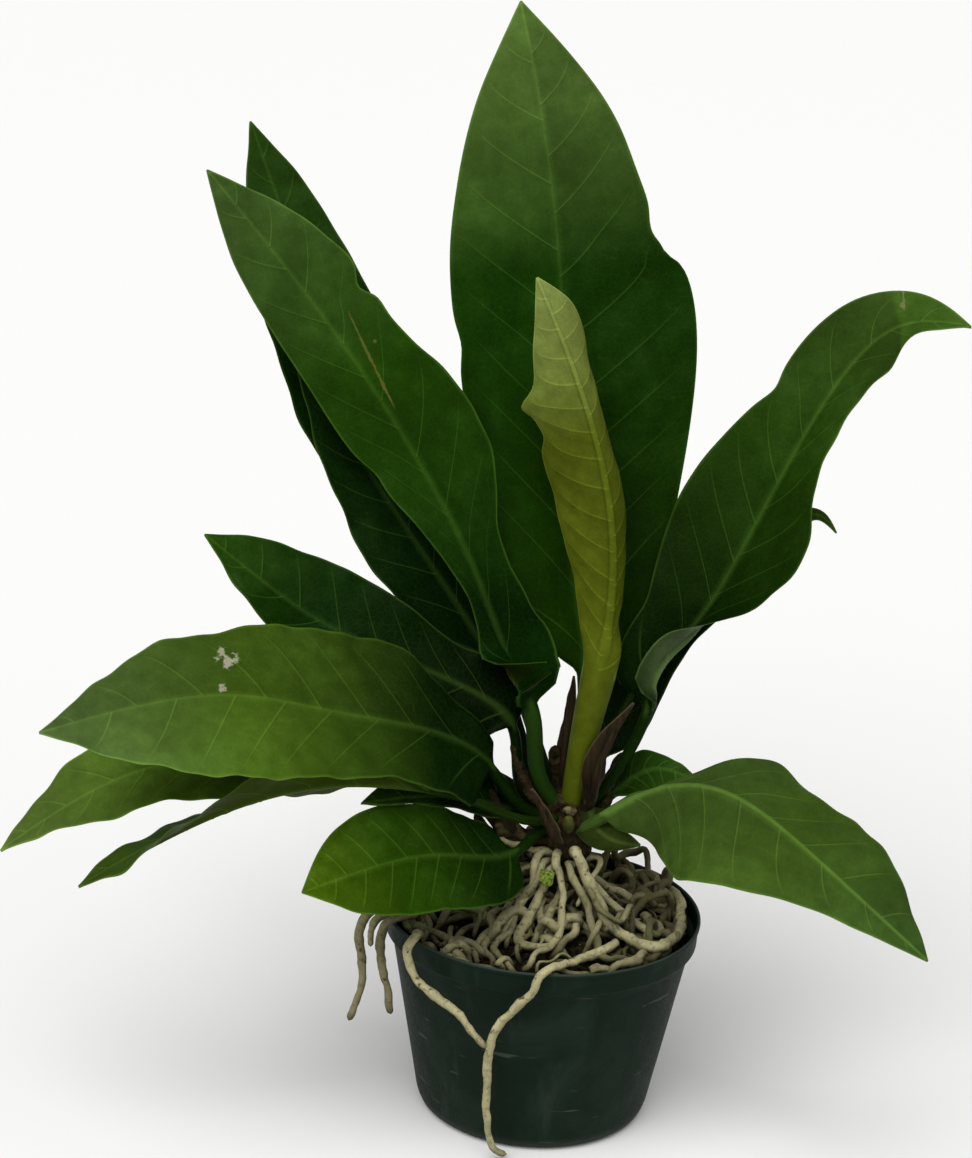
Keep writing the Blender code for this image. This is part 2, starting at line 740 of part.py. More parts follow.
def build_small_parts(collection, bud_look, moss_look):
    """A green bud on the front of the stem and a tuft of moss among the roots."""
    ball = dict(u_segments=8, v_segments=6, radius=3.2)
    place = Matrix.Translation((9.5, -17, 159)) @ Matrix.Diagonal((1, 1, 1.4, 1))
    primitive("bud", [(bmesh.ops.create_uvsphere, ball, place)], collection, bud_look)
    ball = dict(subdivisions=2, radius=4.4)
    place = Matrix.Translation((0.5, -25.5, 134)) @ Matrix.Diagonal((1, 0.8, 0.9, 1))
    primitive("moss_tuft", [(bmesh.ops.create_icosphere, ball, place)], collection, moss_look)


def main():
    for thing in list(bpy.data.objects):
        bpy.data.objects.remove(thing)
    plant = new_collection("potted_anthurium")
    cutters = new_collection("cutters", hidden=True)
    bpy.context.scene.unit_settings.system = "METRIC"

    build_pot(plant, cutters, material("pot_plastic", (0.025, 0.07, 0.05), 0.55))
    clear_mix = build_mix(plant, cutters, material("potting_mix_dark", (0.045, 0.03, 0.018), 0.95))
    clear_stem = build_stem(plant, cutters, material("stem_brown", (0.09, 0.05, 0.03), 0.8))

    roots = root_group("aerial_roots", ROOTS, plant, material("root_cream", (0.55, 0.47, 0.3), 0.7))
    strands = bpy.data.collections["strands_of_aerial_roots"]
    build_root_base("root_base", strands)
    cut(roots, clear_mix, "rest_on_mix")
    cut(roots, clear_stem, "under_stem")

    clear_roots = new_collection("clear_roots", hidden=True)
    for k, (radius, line) in enumerate(ROOTS):
        root_mesh(f"clear_root_{k}", radius + 2 * GAP, line, clear_roots)
    build_root_base("clear_root_base", clear_roots, 2 * GAP)

    front_look = material("root_cream_front", (0.58, 0.5, 0.33), 0.7)
    over_front = root_group("roots_over_front", FRONT_ROOTS, plant, front_look)
    left_look = material("root_cream_left", (0.5, 0.42, 0.27), 0.7)
    over_left = root_group("roots_over_left", LEFT_ROOTS, plant, left_look)
    for piece in (over_front, over_left):
        cut(piece, clear_mix, "rest_on_mix")
        cut(piece, clear_roots, "beside_roots")

    for name, leaf in LEAVES.items():
        if name == "leaf_new":
            look = material(name + "_olive", (0.35, 0.4, 0.07), 0.4)
        elif name.startswith("sheath"):
            look = material(name + "_brown", (0.12, 0.06, 0.035), 0.75)
        else:
            look = material(name + "_green", (0.06, 0.17, 0.03), 0.35)
        piece = leaf_object(name, leaf, plant, look)
        cut(piece, clear_stem, "beside_stem")

    build_chips(plant, material("bark_brown", (0.16, 0.09, 0.05), 0.9))
    build_small_parts(
        plant,
        material("bud_green", (0.25, 0.33, 0.08), 0.5),
        material("moss_green", (0.2, 0.3, 0.05), 0.9),
    )
    cut(bpy.data.objects["bud"], clear_stem, "beside_stem")
    cut(bpy.data.objects["moss_tuft"], clear_roots, "on_roots")


main()
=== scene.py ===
"""Looks of the potted anthurium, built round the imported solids: a rosette of fifteen
leaves on a short stem, pale aerial roots, potting mix and a green nursery pot.

Metres, +Z up, the front of the plant faces -Y. Tables are in millimetres and degrees.
"""

import math

import bmesh
import bpy
import numpy as np
from mathutils import Matrix, Vector


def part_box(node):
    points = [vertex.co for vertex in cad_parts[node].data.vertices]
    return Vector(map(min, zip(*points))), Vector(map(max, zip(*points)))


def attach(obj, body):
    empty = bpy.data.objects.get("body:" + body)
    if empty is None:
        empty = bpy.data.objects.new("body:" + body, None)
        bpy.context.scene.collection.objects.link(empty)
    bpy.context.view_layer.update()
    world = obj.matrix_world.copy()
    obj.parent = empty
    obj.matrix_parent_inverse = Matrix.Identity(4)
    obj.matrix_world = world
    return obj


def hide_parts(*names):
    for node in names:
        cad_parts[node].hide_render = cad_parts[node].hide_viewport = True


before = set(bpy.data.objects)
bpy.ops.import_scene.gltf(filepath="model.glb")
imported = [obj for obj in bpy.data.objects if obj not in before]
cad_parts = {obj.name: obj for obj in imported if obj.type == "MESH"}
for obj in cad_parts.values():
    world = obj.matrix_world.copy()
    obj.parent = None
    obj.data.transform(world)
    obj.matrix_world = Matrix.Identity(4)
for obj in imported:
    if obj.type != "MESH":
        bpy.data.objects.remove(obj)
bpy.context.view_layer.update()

MM = 0.001

# Camera: the photograph's viewing angle.
CAMERA_PLACE = (-0.038, -1.243, 0.658)
CAMERA_DOWN = 17.0
CAMERA_ROLL = 3.24
CAMERA_LENS = 83.0

# Stage: half the side of the floor, strength of the white surroundings, and each light's
# direction, spread and power.
FLOOR_HALF = 9000.0
SKY_STRENGTH = 0.36
LIGHTS = (
    ("key", (0.35, 0.75, -1.0), 55.0, 2.8),
    ("fill", (-0.9, 0.7, -0.8), 70.0, 0.6),
)

# Pot, as in the solids
RIM_RADIUS = 80.0
POT_HEIGHT = 107.0
COLLAR_HEIGHT = 12.5
COLLAR_STEP = 4.0
BASE_RADIUS = 58.0
WALL = 1.6
FLOOR = 2.0
DRAIN_HOLES = 6
DRAIN_RADIUS = 4.5
DRAIN_CIRCLE = 42.0

# Potting mix, which heaps up under the crown
MIX_EDGE = 99.0
HEAP = 20.0
HEAP_RADIUS = 30.0

# Stem, which runs down into the roots
STEM_X = 9.0
STEM_RADIUS = 14.0
STEM_TOP = 171.0
STEM_FOOT = 114.0

# Every leaf and sheath. Places along the blade run from 0 to 1, and a pair of values holds
# the left half and the right half, with the tip ahead and the upper side up.
# spine: the midrib from the crown to the tip. stalk: share of it that is stalk.
# face: where the upper side faces along it. left, right: half widths at even stations.
# fold: tilt of each half against the frame. curl: its further turn out to the margin.
# cup: more fold at the foot of the blade, and where that ends. girth: radius of the stalk
# at its foot and top. onset: where the blade has grown out of the stalk. veins: pairs of
# side veins, their sweep forward as a share of the blade, and how much they arch. wave:
# ripple of the left and right margin, how many, and where they start. nicks: side, place,
# depth and reach of a notch in the margin, or of a bulge where the depth is negative.
# slot: material slot. solid: whether a solid of that name lies under it.
# tones: colours in thousandths, of the upper side at base, middle and tip, then of the
# underside. The upper-side tones hold painted shade, darker at the base near the crown and
# for leaves that lie in the shade of others, and a painted sheen in the paler tips.
# sides: gain of each half, a painted light that makes the half facing the light paler and
# the other darker. paler: share of the underside's colour that shows.
# stalk_glow, rib_glow: how pale stalk and midrib are. marks: x, z, size and colour of a
# scar. streaks: x, z, run in x and z, width and colour. yellow: where a yellow tip begins,
# and its colour. A sheath has no tones and takes the look of all sheaths.
PLAIN_LEAF = dict(
    fold=((5,), (5,)), curl=((0,), (0,)), cup=(0, 0, 0.1), onset=0.08, veins=(0, 0, 0), nicks=(),
    slot="leaf_green", solid=True, tones=None, sides=(1, 1), paler=1, stalk_glow=0.1, rib_glow=1,
    marks=(), streaks=(), yellow=None,
)
LEAVES = {
    "leaf_tall": dict(
        spine=[
            (10, 8, 162), (15, 16, 195), (12, 24, 235), (3, 36, 290), (-9, 60, 410), (-25, 80, 500),
            (-37, 90, 547),
        ],
        stalk=0.16, face=[(0.1, -1, 0.1), (0, -1, 0.25), (0.1, -1, 0.3)],
        left=(8, 30, 44, 50, 54, 55, 47, 30), right=(12, 44, 51, 57, 63, 66, 61, 46, 37, 21),
        fold=((25, 20, 18, 18), (12, 10, 10, 12)), curl=((-15,), (-5,)),
        girth=(4, 3.4), onset=0.04, veins=(11, 0.17, 0.1), wave=(1, 1.4, 4, 0.2),
        nicks=[
            ("right", 0.645, 0.13, 0.035), ("right", 0.615, 0.04, 0.01), ("left", 0.5, 0.04, 0.03),
        ],
        sides=(1.15, 0.88),
        tones=((5, 21, 0.4), (4, 22, 0.4), (55, 100, 18), (14, 34, 4)),
    ),
    "leaf_left_front": dict(
        spine=[
            (5, -5, 163), (-7, -8, 182), (-11, -9, 210), (-20, 0, 228), (-33, 10, 254),
            (-50, 16, 290), (-106, 28, 374), (-184, 48, 462),
        ],
        stalk=0.16, face=[(0.3, -1, 0.3), (0.35, -1, 0.45), (0.3, -1, 0.5)],
        left=(34, 12, 11, 19, 26, 26, 24, 17), right=(33, 26, 19, 34, 38, 29, 29, 19),
        fold=((20, 10, -5, -8, -10, -10, -8, -5), (45, 45, 42, 38, 35, 33, 32, 30)),
        curl=((0, 0, -10, -20), (5,)), cup=(130, 20, 0.12),
        girth=(3.8, 4.2), onset=0.03, veins=(10, 0.17, 0.1), wave=(1.2, 1.4, 6, 0.1),
        nicks=[("right", 0.71, 0.2, 0.022), ("left", 0.45, 0.1, 0.03)],
        stalk_glow=0.6,
        tones=((1.5, 11, 0.3), (9, 34, 0.8), (31, 60, 11), (18, 24, 3)),
        marks=[(-98, 387, 0.8, (70, 90, 20))],
        streaks=[
            (-112.5, 401, 26, -47, 0.6, (90, 100, 20)), (-106, 389, 16, -29, 0.9, (80, 80, 15)),
        ],
    ),
    "leaf_left_back": dict(
        spine=[
            (3, 10, 163), (-5, 18, 180), (-20, 30, 215), (-55, 45, 275), (-110, 60, 360),
            (-145, 72, 430), (-167, 82, 482),
        ],
        stalk=0.25, face=[(0.4, -1, 0.3), (0.4, -1, 0.4)],
        left=(3, 17, 30, 36, 37, 32, 26, 16), right=(3, 15, 27, 32, 31, 27, 23, 15),
        fold=((10,), (10,)),
        girth=(3.2, 2.8), veins=(9, 0.16, 0.1), wave=(1.5, 1.5, 5, 0.4),
        slot="leaf_dark",
        tones=((1, 9, 0.3), (2, 13, 0.4), (13, 36, 3), (10, 22, 2)),
    ),
    "leaf_left_shade": dict(
        spine=[
            (2, 1, 163), (-11, 7, 180), (-23, 18, 210), (-63, 32, 270), (-105, 35, 329),
            (-143, 45, 393),
        ],
        stalk=0.24, face=[(0.5, -1, 0.4), (0.5, -1, 0.5)],
        left=(3, 14, 24, 28, 27, 22, 16, 9), right=(3, 14, 22, 26, 27, 26, 21, 13),
        fold=((0, 5, 10), (0, 5, 10)),
        girth=(3.2, 2.8), veins=(8, 0.16, 0.1), wave=(1.5, 1.5, 4, 0),
        slot="leaf_dark",
        tones=((0.5, 6, 0.2), (1, 9, 0.3), (5, 18, 1), (6, 14, 1)),
    ),
    "leaf_left_middle": dict(
        spine=[
            (-1, -1, 161), (-15, -4, 173), (-21, -4, 204), (-45, -2, 222), (-80, 3, 234),
            (-120, 10, 249), (-178, 22, 286),
        ],
        stalk=0.22, face=[(0.4, -1, 0.6), (0.3, -0.9, 0.7), (0.2, -0.8, 0.7)],
        left=(32, 32, 30, 30, 28, 24, 17, 9), right=(22, 20, 19, 25, 29, 29, 25, 17),
        fold=((-25, -10, 5, 5), (0, 10, 20, 12, 5)),
        girth=(3.2, 2.6), onset=0.04, veins=(8, 0.16, 0.1), wave=(1.5, 1.5, 4, 0.3),
        tones=((0.2, 3, 0.1), (1, 11, 0.2), (7, 26, 0.3), (10, 22, 2)),
    ),
    "leaf_left_wide": dict(
        spine=[
            (0, -6, 157), (-14, -12, 165), (-27, -18, 182), (-50, -30, 205), (-105, -54, 224),
            (-160, -76, 237), (-238, -100, 223),
        ],
        stalk=0.165, face=[(0.2, -0.6, 0.8), (0, -0.6, 0.8), (-0.2, -0.5, 0.8)],
        left=(27, 35, 34, 38, 45, 50, 45, 28), right=(12, 22, 42, 43, 42, 35, 31, 17),
        fold=((10, 8, 8), (12,)), curl=((-5,), (-8,)),
        girth=(3.2, 3), onset=0.03, veins=(8, 0.16, 0.1), wave=(1.2, 1.4, 6, 0.5),
        sides=(1.35, 0.95),
        tones=((1, 6, 0.2), (34, 68, 5), (44, 76, 18), (32, 52, 10)),
        marks=[
            (-160, 252, 2.2, (300, 300, 200)), (-156, 249, 2.6, (320, 300, 220)),
            (-153, 250, 1.8, (300, 300, 200)), (-157, 240, 1.8, (300, 280, 200)),
        ],
    ),
    "leaf_left_under": dict(
        spine=[
            (3, 7, 155), (-8, 12, 159), (-25, 9, 171), (-65, -6, 186), (-125, -28, 190),
            (-195, -46, 187), (-262, -66, 149),
        ],
        stalk=0.24, face=[(0, -0.5, 0.8), (0, -0.5, 0.8), (-0.4, -0.4, 0.7)],
        left=(3, 13, 18, 24, 26, 24, 23, 12), right=(3, 20, 26, 25, 23, 24, 23, 15),
        fold=((5,), (8,)),
        girth=(3.2, 2.8), veins=(9, 0.15, 0.1), wave=(1, 1.6, 5, 0),
        tones=((8, 24, 1), (48, 96, 6), (62, 102, 18), (40, 58, 10)),
    ),
    "leaf_left_twisted": dict(
        spine=[
            (5, -8, 159), (-6, -20, 161), (-22, -31, 168), (-42, -43, 180), (-90, -62, 193),
            (-150, -88, 187), (-217, -114, 154),
        ],
        stalk=0.32, face=[(0, 0.1, 1), (0, 0.65, 0.75), (0, 0.6, 0.75), (0.1, -0.3, 0.9)],
        left=(3, 12, 18, 20, 20, 18, 15, 9), right=(3, 12, 18, 20, 20, 18, 15, 9),
        fold=((10,), (10,)),
        girth=(2.4, 2.2), veins=(7, 0.15, 0.2), wave=(1.5, 1.5, 4, 0.2),
        tones=((6, 16, 1), (22, 46, 5), (28, 54, 5), (22, 36, 3)),
    ),
    "leaf_front_small": dict(
        spine=[
            (5, -6, 153), (-6, -17, 153), (-18, -33, 148), (-53, -58, 156), (-85, -74, 154),
            (-116, -88, 146),
        ],
        stalk=0.22, face=[(0.1, -0.5, 0.8), (0, -0.7, 0.7), (-0.1, -0.7, 0.7)],
        left=(12, 24, 28, 29, 30, 29, 25, 15), right=(10, 17, 21, 24, 27, 28, 25, 16),
        fold=((5,), (10,)),
        girth=(3, 2.6), onset=0.07, veins=(8, 0.15, 0.2), wave=(0.8, 1.2, 4, 0.4),
        tones=((2, 10, 0.3), (12, 36, 0.4), (34, 68, 0.8), (24, 42, 4)),
    ),
    "leaf_front_shade": dict(
        spine=[
            (0, -1, 154), (-14, -4, 159), (-27, -16, 166), (-52, -35, 177.5), (-91, -63, 182.5),
        ],
        stalk=0.16, face=[(0.1, -0.8, 0.6), (0, -0.7, 0.7)],
        left=(4, 6, 7, 7, 6, 5, 4, 3), right=(6, 12, 16, 18, 18, 16, 12, 7),
        girth=(2.8, 2.4), veins=(7, 0.15, 0.2), wave=(0.6, 0.8, 3, 0),
        slot="leaf_dark",
        tones=((1, 6, 0.2), (3, 11, 0.4), (5, 14, 0.5), (6, 10, 1)),
    ),
    "leaf_right_wavy": dict(
        spine=[
            (16, -2, 157), (35, 0, 187), (46, 4, 215), (48, 4, 229), (54, 6, 242), (68, 12, 258),
            (112, 32, 346), (154, 42, 404), (188, 24, 411),
        ],
        stalk=0.195, face=[(-0.3, -1, 0.2), (-0.4, -1, 0.4), (-0.35, -1, 0.5), (-0.1, -1, 0.9)],
        left=(18, 25, 34, 40, 37, 28, 26, 18), right=(10, 15, 32, 43, 27, 18, 22, 19),
        fold=((25, 22, 16, 12, 12, 12, 10, 10), (40, 35, 32, 30, 30, 32, 34, 35)),
        curl=((0,), (20, 15, 0, 0, 0)), cup=(0, 100, 0.3),
        girth=(2.6, 2.9), onset=0.06, veins=(10, 0.17, 0.1), wave=(1.2, 1, 5, 0.3),
        nicks=[("left", 0.64, 0.1, 0.03)],
        rib_glow=1.4,
        tones=((1.5, 8, 0.3), (10, 31, 1.5), (26, 52, 7), (40, 62, 22)),
        marks=[(157, 416, 1.4, (120, 140, 50))],
        streaks=[(157, 431, 1, -18, 0.7, (130, 150, 50))], yellow=(0.86, (34, 78, 8)),
    ),
    "leaf_right_shade": dict(
        spine=[
            (14, 6, 160), (33, 26, 200), (60, 46, 245), (95, 60, 280), (126, 66, 302),
            (139, 69, 292),
        ],
        stalk=0.12, face=[(-0.3, -1, 0.4), (-0.3, -1, 0.5)],
        left=(3, 16, 16, 16, 16, 15, 12, 5), right=(3, 15, 14, 13, 14, 15, 12, 5),
        girth=(3, 2.6), onset=0.05, veins=(7, 0.15, 0.2), wave=(1, 1, 4, 0.2),
        slot="leaf_dark",
        tones=((0.5, 5, 0.2), (1, 8, 0.3), (16, 36, 3), (6, 14, 1)),
    ),
    "leaf_right_front": dict(
        spine=[
            (15, -9, 153), (26, -18, 164), (43, -29, 181), (62, -43, 193), (80, -56, 196),
            (98, -68, 191), (125, -88, 176), (176, -110, 139),
        ],
        stalk=0.09, face=[(0.1, -0.5, 0.8), (0.2, -0.6, 0.8), (0.4, -0.7, 0.5)],
        left=(3, 5, 13, 41, 34, 38, 35, 22), right=(7, 24, 40, 49, 44, 31, 18, 9),
        fold=((-15, -18, -16, -14, -12, -12, -10), (-25, -22, -18, -15, -12, -10, -10)),
        curl=((0,), (-5,)),
        girth=(3.2, 3), onset=0.03, veins=(8, 0.16, 0.1), wave=(1.2, 1, 4, 0.1),
        rib_glow=1.9,
        tones=((29, 54, 9), (33, 66, 7), (28, 60, 10), (18, 24, 4)),
    ),
    "leaf_right_fold": dict(
        spine=[(20, -10, 167), (22, -14, 160), (28, -18, 154.5), (36, -22, 153), (45, -26, 154)],
        stalk=0.01, face=[(0.1, -1, 0.2), (0.1, -1, 0.3)],
        left=(7, 9, 9, 9, 9, 8, 6, 4), right=(4, 9, 11, 10, 8, 6, 4, 2),
        fold=((0,), (-10,)), curl=((0,), (-30,)),
        girth=(1.5, 1.5), wave=(0.3, 0.4, 2, 0),
        solid=False,
        tones=((12, 20, 3), (18, 28, 4), (20, 28, 5), (16, 22, 4)),
    ),
    "leaf_right_low": dict(
        spine=[(15, 1, 153), (34, 6, 170), (52, 6, 182), (75, -2, 178)],
        stalk=0.3, face=[(-0.1, -0.6, 0.8), (-0.1, -0.6, 0.8)],
        left=(2.4, 5, 8, 12, 10, 7, 5, 3), right=(2.4, 6, 10, 12, 13, 12, 8, 4),
        girth=(2.8, 2.4), veins=(6, 0.15, 0.2), wave=(0.6, 0.6, 3, 0),
        slot="leaf_dark",
        tones=((6, 19, 1), (10, 30, 2), (13, 34, 2), (10, 20, 2)),
    ),
    "leaf_new": dict(
        spine=[
            (10, -6, 164), (15, -9, 206), (20, -8, 238), (23, -7, 272), (20, -5, 315), (3, 0, 372),
            (-22, 8, 426),
        ],
        stalk=0.26, face=[(0.3, 1, 0.1), (0.2, 1, 0.1), (0.1, 1, 0.1)],
        left=(8, 11, 14, 16, 16, 15, 16, 17), right=(9, 17, 24, 30, 33, 33, 26, 14),
        fold=((45, 45, 45, 45, 25), (10,)), curl=((60, 60, 60, 55, 20), (25, 25, 25, 25, 15)),
        girth=(5, 8.5), onset=0.15, veins=(14, 0.1, 0.8), wave=(0.5, 0.5, 4, 0),
        nicks=[("right", 0.71, -0.3, 0.03), ("right", 0.62, 0.12, 0.03)],
        slot="leaf_new", paler=0, rib_glow=0.3,
        tones=((52, 66, 3), (66, 84, 5), (150, 190, 45), (75, 92, 9)),
    ),
    "sheath_right": dict(
        spine=[(18, -9, 165), (20.5, -17, 178), (23, -20, 196), (37, -18, 225)],
        stalk=0.1, face=[(-0.2, 1, 0.2), (-0.4, 1, 0.3)],
        left=(3, 6, 8, 8, 7, 6, 4, 2), right=(3, 6, 8, 8, 7, 6, 4, 2),
        fold=((30, 30, 25), (30, 30, 25)), curl=((20,), (20,)),
        girth=(3, 3), wave=(0.4, 0.4, 3, 0),
        slot="sheath_brown",
    ),
    "sheath_left": dict(
        spine=[(6, 1, 160), (6, 2, 185), (7, 2, 210), (8, 2, 230)],
        stalk=0.1, face=[(0.3, 1, 0), (0.3, 1, 0)],
        left=(3.5, 4.5, 6, 6, 5, 4, 3, 2), right=(3.5, 4.5, 6, 6, 5, 4, 3, 2),
        fold=((20,), (20,)), curl=((20,), (20,)),
        girth=(2.5, 2.5), wave=(0.3, 0.3, 3, 0),
        slot="sheath_brown",
    ),
    "sheath_low": dict(
        spine=[(6, -18, 150), (3, -25, 155), (-2, -27, 165), (-10, -27, 181)],
        stalk=0.1, face=[(0.2, 1, 0.3), (0.2, 1, 0.3)],
        left=(2.5, 3, 4, 4, 3.5, 3, 2, 1.5), right=(2.5, 3, 4, 4, 3.5, 3, 2, 1.5),
        fold=((20,), (20,)), curl=((20,), (20,)),
        girth=(2.5, 2.5), wave=(0.3, 0.3, 3, 0),
        slot="sheath_brown",
    ),
}

# Aerial roots over the mix: radius, then the middle line from the crown outward.
ROOTS = [
    (3.5, [
        (4, -4, 138), (-4, -15, 143), (-6, -20, 137), (-7, -22, 129), (-14, -28, 118),
        (-19, -33, 108), (-20, -36, 100),
    ]),
    (3, [
        (3, -6, 134), (-1, -17, 138), (-5, -23, 129), (-11, -27, 120), (-15, -33, 111),
        (-17, -42, 102),
    ]),
    (3.5, [
        (7, -8, 130), (3, -18, 134), (0, -24, 126), (-6, -29, 117), (-11, -36, 110),
        (-11, -43, 106), (-4, -46, 105), (7, -44, 106),
    ]),
    (3, [(9, -8, 124), (6, -21, 124), (2, -28, 117), (-3, -37, 109), (-6, -43, 102)]),
    (3.2, [
        (8, -5, 138), (3, -18, 145), (5, -22, 138), (9, -27, 128), (9, -33, 118), (6, -42, 110),
        (-1, -55, 105), (-10, -68, 102),
    ]),
    (4.3, [
        (12, -4, 136), (15, -17, 145), (19, -21, 138), (25, -26, 125), (30, -30, 113),
        (38, -32, 108), (47, -38, 106), (54, -42, 106), (61, -36, 106), (67, -20, 107),
        (70, -2, 109), (69, 14, 110), (64, 28, 110), (56, 40, 106),
    ]),
    (2.8, [
        (13, -6, 132), (12, -20, 138), (17, -26, 129), (23, -32, 117), (25, -42, 107),
        (22, -50, 101),
    ]),
    (2, [(14, -2, 134), (27, -9, 137), (25, -15, 131), (20, -23, 125), (16, -27, 119)]),
    (2.8, [
        (4, -4, 126), (-18, -12, 113), (-34, -16, 107), (-46, -18, 104), (-54, -24, 103),
        (-53, -34, 103), (-50, -43, 103), (-46, -36, 105), (-44, -28, 105),
    ]),
    (2.6, [
        (4, -5, 122), (-16, -17, 112), (-32, -24, 106), (-42, -34, 104), (-40, -51, 101),
        (-38, -56, 99),
    ]),
    (2.8, [(5, -6, 120), (-12, -24, 112), (-26, -34, 106), (-33, -44, 104), (-32, -59, 101)]),
    (2.4, [
        (6, -8, 118), (-10, -30, 109), (-22, -42, 105), (-25, -51, 104), (-19, -63, 103),
        (-12, -71, 101),
    ]),
    (2.8, [(2, -10, 140), (-10, -16, 146), (-20, -20, 149), (-26, -21, 152)]),
    (2.4, [(2, -8, 134), (-12, -20, 136), (-22, -26, 128), (-30, -30, 116), (-34, -34, 102)]),
    (3, [(14, -3, 130), (30, -9, 118), (44, -16, 108), (55, -22, 105), (58, -10, 104), (54, 0, 100)]),
    (2.8, [(14, 3, 128), (30, 12, 116), (46, 16, 106), (60, 12, 104), (62, 22, 102), (56, 30, 99)]),
    (3, [(10, 4, 130), (16, 24, 116), (26, 42, 106), (40, 54, 103), (52, 46, 101)]),
    (2.8, [(6, 4, 130), (-8, 20, 116), (-26, 36, 106), (-44, 42, 103), (-56, 30, 101)]),
    (2.6, [(8, 4, 126), (0, 26, 112), (-8, 48, 104), (2, 62, 102), (14, 64, 99)]),
    (2.8, [(5, 0, 128), (-16, 6, 112), (-34, 14, 105), (-48, 16, 103), (-60, 8, 100)]),
]

# Two roots go over the front of the rim, meet, and one of them runs down to the floor.
FRONT_ROOTS = [
    (2.8, [
        (36, -39, 107), (30, -46, 106), (22, -55, 106), (14, -64, 107), (7, -73, 109),
        (3, -79, 110.6), (-2, -83.8, 107.5), (-5, -85, 100), (-9, -85, 95), (-15, -84, 88),
        (-21, -82, 78), (-24, -79, 64), (-24, -76, 46), (-23, -73, 27), (-21, -71, 14),
        (-17, -69, 6), (-12, -67, 3),
    ]),
    (2.8, [
        (-60, -33, 102), (-62, -42, 107), (-62, -50.5, 110.6), (-65.5, -55, 106), (-65, -58, 99),
        (-60, -63, 92), (-50, -70, 87), (-40, -75, 82), (-32, -78, 74), (-25, -79.5, 66),
    ]),
]

# Three roots go over the left side of the rim and hang free.
LEFT_ROOTS = [
    (2.6, [
        (-50, 0, 102), (-62, -9, 106), (-71, -14, 110.4), (-79, -17, 110.6), (-87, -18, 106),
        (-91, -20, 97), (-90, -20, 86), (-89, -20, 68), (-92, -20, 55), (-95, -20, 47),
    ]),
    (2.2, [
        (-58, -6, 105), (-66, -17, 108.5), (-75, -25, 110.2), (-81, -27, 108.5), (-85, -27.5, 101),
        (-85, -27, 92),
    ]),
    (2.6, [
        (-56, -5, 104), (-62, -19, 107), (-70, -30, 110.5), (-77, -34, 108.5), (-80, -34, 101),
        (-79, -34, 86), (-76, -34, 75), (-73, -34, 59),
    ]),
]

# Stubs of old leaf stalks, in the same form.
STUBS = [
    (5, [(2, -4, 146), (-12, -9, 148), (-22, -12, 154), (-32, -15, 168), (-45, -17, 188)]),
    (3.6, [(3, -2, 158), (-8, -4, 168), (-16, -5, 182), (-20, -5, 196)]),
    (3.4, [(4, 4, 158), (-6, 8, 172), (-11, 10, 190)]),
    (3.6, [(0, 0, 150), (-14, 2, 156), (-26, 2, 170)]),
    (4.2, [(8, 2, 160), (3, 4, 178), (1, 5, 192)]),
    (4.5, [(15, 0, 158), (27, 3, 172), (36, 6, 190)]),
    (3.4, [(15, -4, 154), (24, -4, 160), (30, -2, 170)]),
    (3.2, [(2, -8, 146), (-14, -14, 152), (-24, -16, 163), (-31, -14, 175)]),
    (3, [(0, -6, 142), (-16, -10, 143), (-28, -13, 150), (-37, -13, 160)]),
]


# Groups of thin roots over the mix: how many, seed, radii, how far out they start, number
# of points, height of their heap at the middle, and the sector where they start.
ALL_ROUND = (0, 360)
THIN_ROOTS = {
    "root_fill": [(52, 11, (1.0, 2.4), (12, 66), (6, 11), 12, ALL_ROUND)],
    "root_edge": [
        (20, 13, (1.4, 2.6), (56, 70), (6, 11), 20, ALL_ROUND),
        (30, 17, (1.4, 2.6), (40, 70), (5, 9), 58, (-25, 140)),
        (10, 19, (2.0, 3.0), (18, 46), (4, 8), 22, (205, 330)),
        (9, 23, (1.8, 2.6), (44, 66), (4, 7), 20, (185, 265)),
    ],
    "root_hairs": [(46, 12, (0.55, 1.0), (16, 70), (4, 7), 13, ALL_ROUND)],
}
THIN_REACH = 71.0
THIN_STRIDE = 6.5


def smooth_curve(knots, values, at):
    """Natural cubic through the values at the knots, read at the given places."""
    knots = np.asarray(knots, float)
    values = np.asarray(values, float)
    step = np.diff(knots)
    count = len(knots)
    system = np.eye(count)
    right = np.zeros_like(values)
    for i in range(1, count - 1):
        system[i, i - 1 : i + 2] = step[i - 1], 2 * (step[i - 1] + step[i]), step[i]
        rise = (values[i + 1] - values[i]) / step[i]
        before = (values[i] - values[i - 1]) / step[i - 1]
        right[i] = 6 * (rise - before)
    bend = np.linalg.solve(system, right)
    at = np.asarray(at, float)
    i = np.clip(np.searchsorted(knots, at) - 1, 0, count - 2)
    a = (knots[i + 1] - at) / step[i]
    b = (at - knots[i]) / step[i]
    c = (a**3 - a) * step[i] ** 2 / 6
    d = (b**3 - b) * step[i] ** 2 / 6
    if values.ndim > 1:
        a, b, c, d = (k[:, None] for k in (a, b, c, d))
    return a * values[i] + b * values[i + 1] + c * bend[i] + d * bend[i + 1]


def even_path(points, count):
    """Evenly spaced points on the smooth line through the given ones."""
    points = np.asarray(points, float)
    reach = np.linalg.norm(np.diff(points, axis=0), axis=1)
    knots = np.concatenate([[0], np.cumsum(np.sqrt(reach))])
    fine = smooth_curve(knots, points, np.linspace(0, knots[-1], 800))
    run = np.concatenate([[0], np.cumsum(np.linalg.norm(np.diff(fine, axis=0), axis=1))])
    at = np.linspace(0, run[-1], count)
    return np.stack([np.interp(at, run, fine[:, k]) for k in range(3)], 1)


def path_length(points):
    """Length of the line through the points."""
    return np.linalg.norm(np.diff(points, axis=0), axis=1).sum()


def from_axis(rings):
    """Distance of each point from the Z axis."""
    return np.linalg.norm(rings[..., :2], axis=-1, keepdims=True)


def unit(vectors):
    return vectors / np.linalg.norm(vectors, axis=-1, keepdims=True)


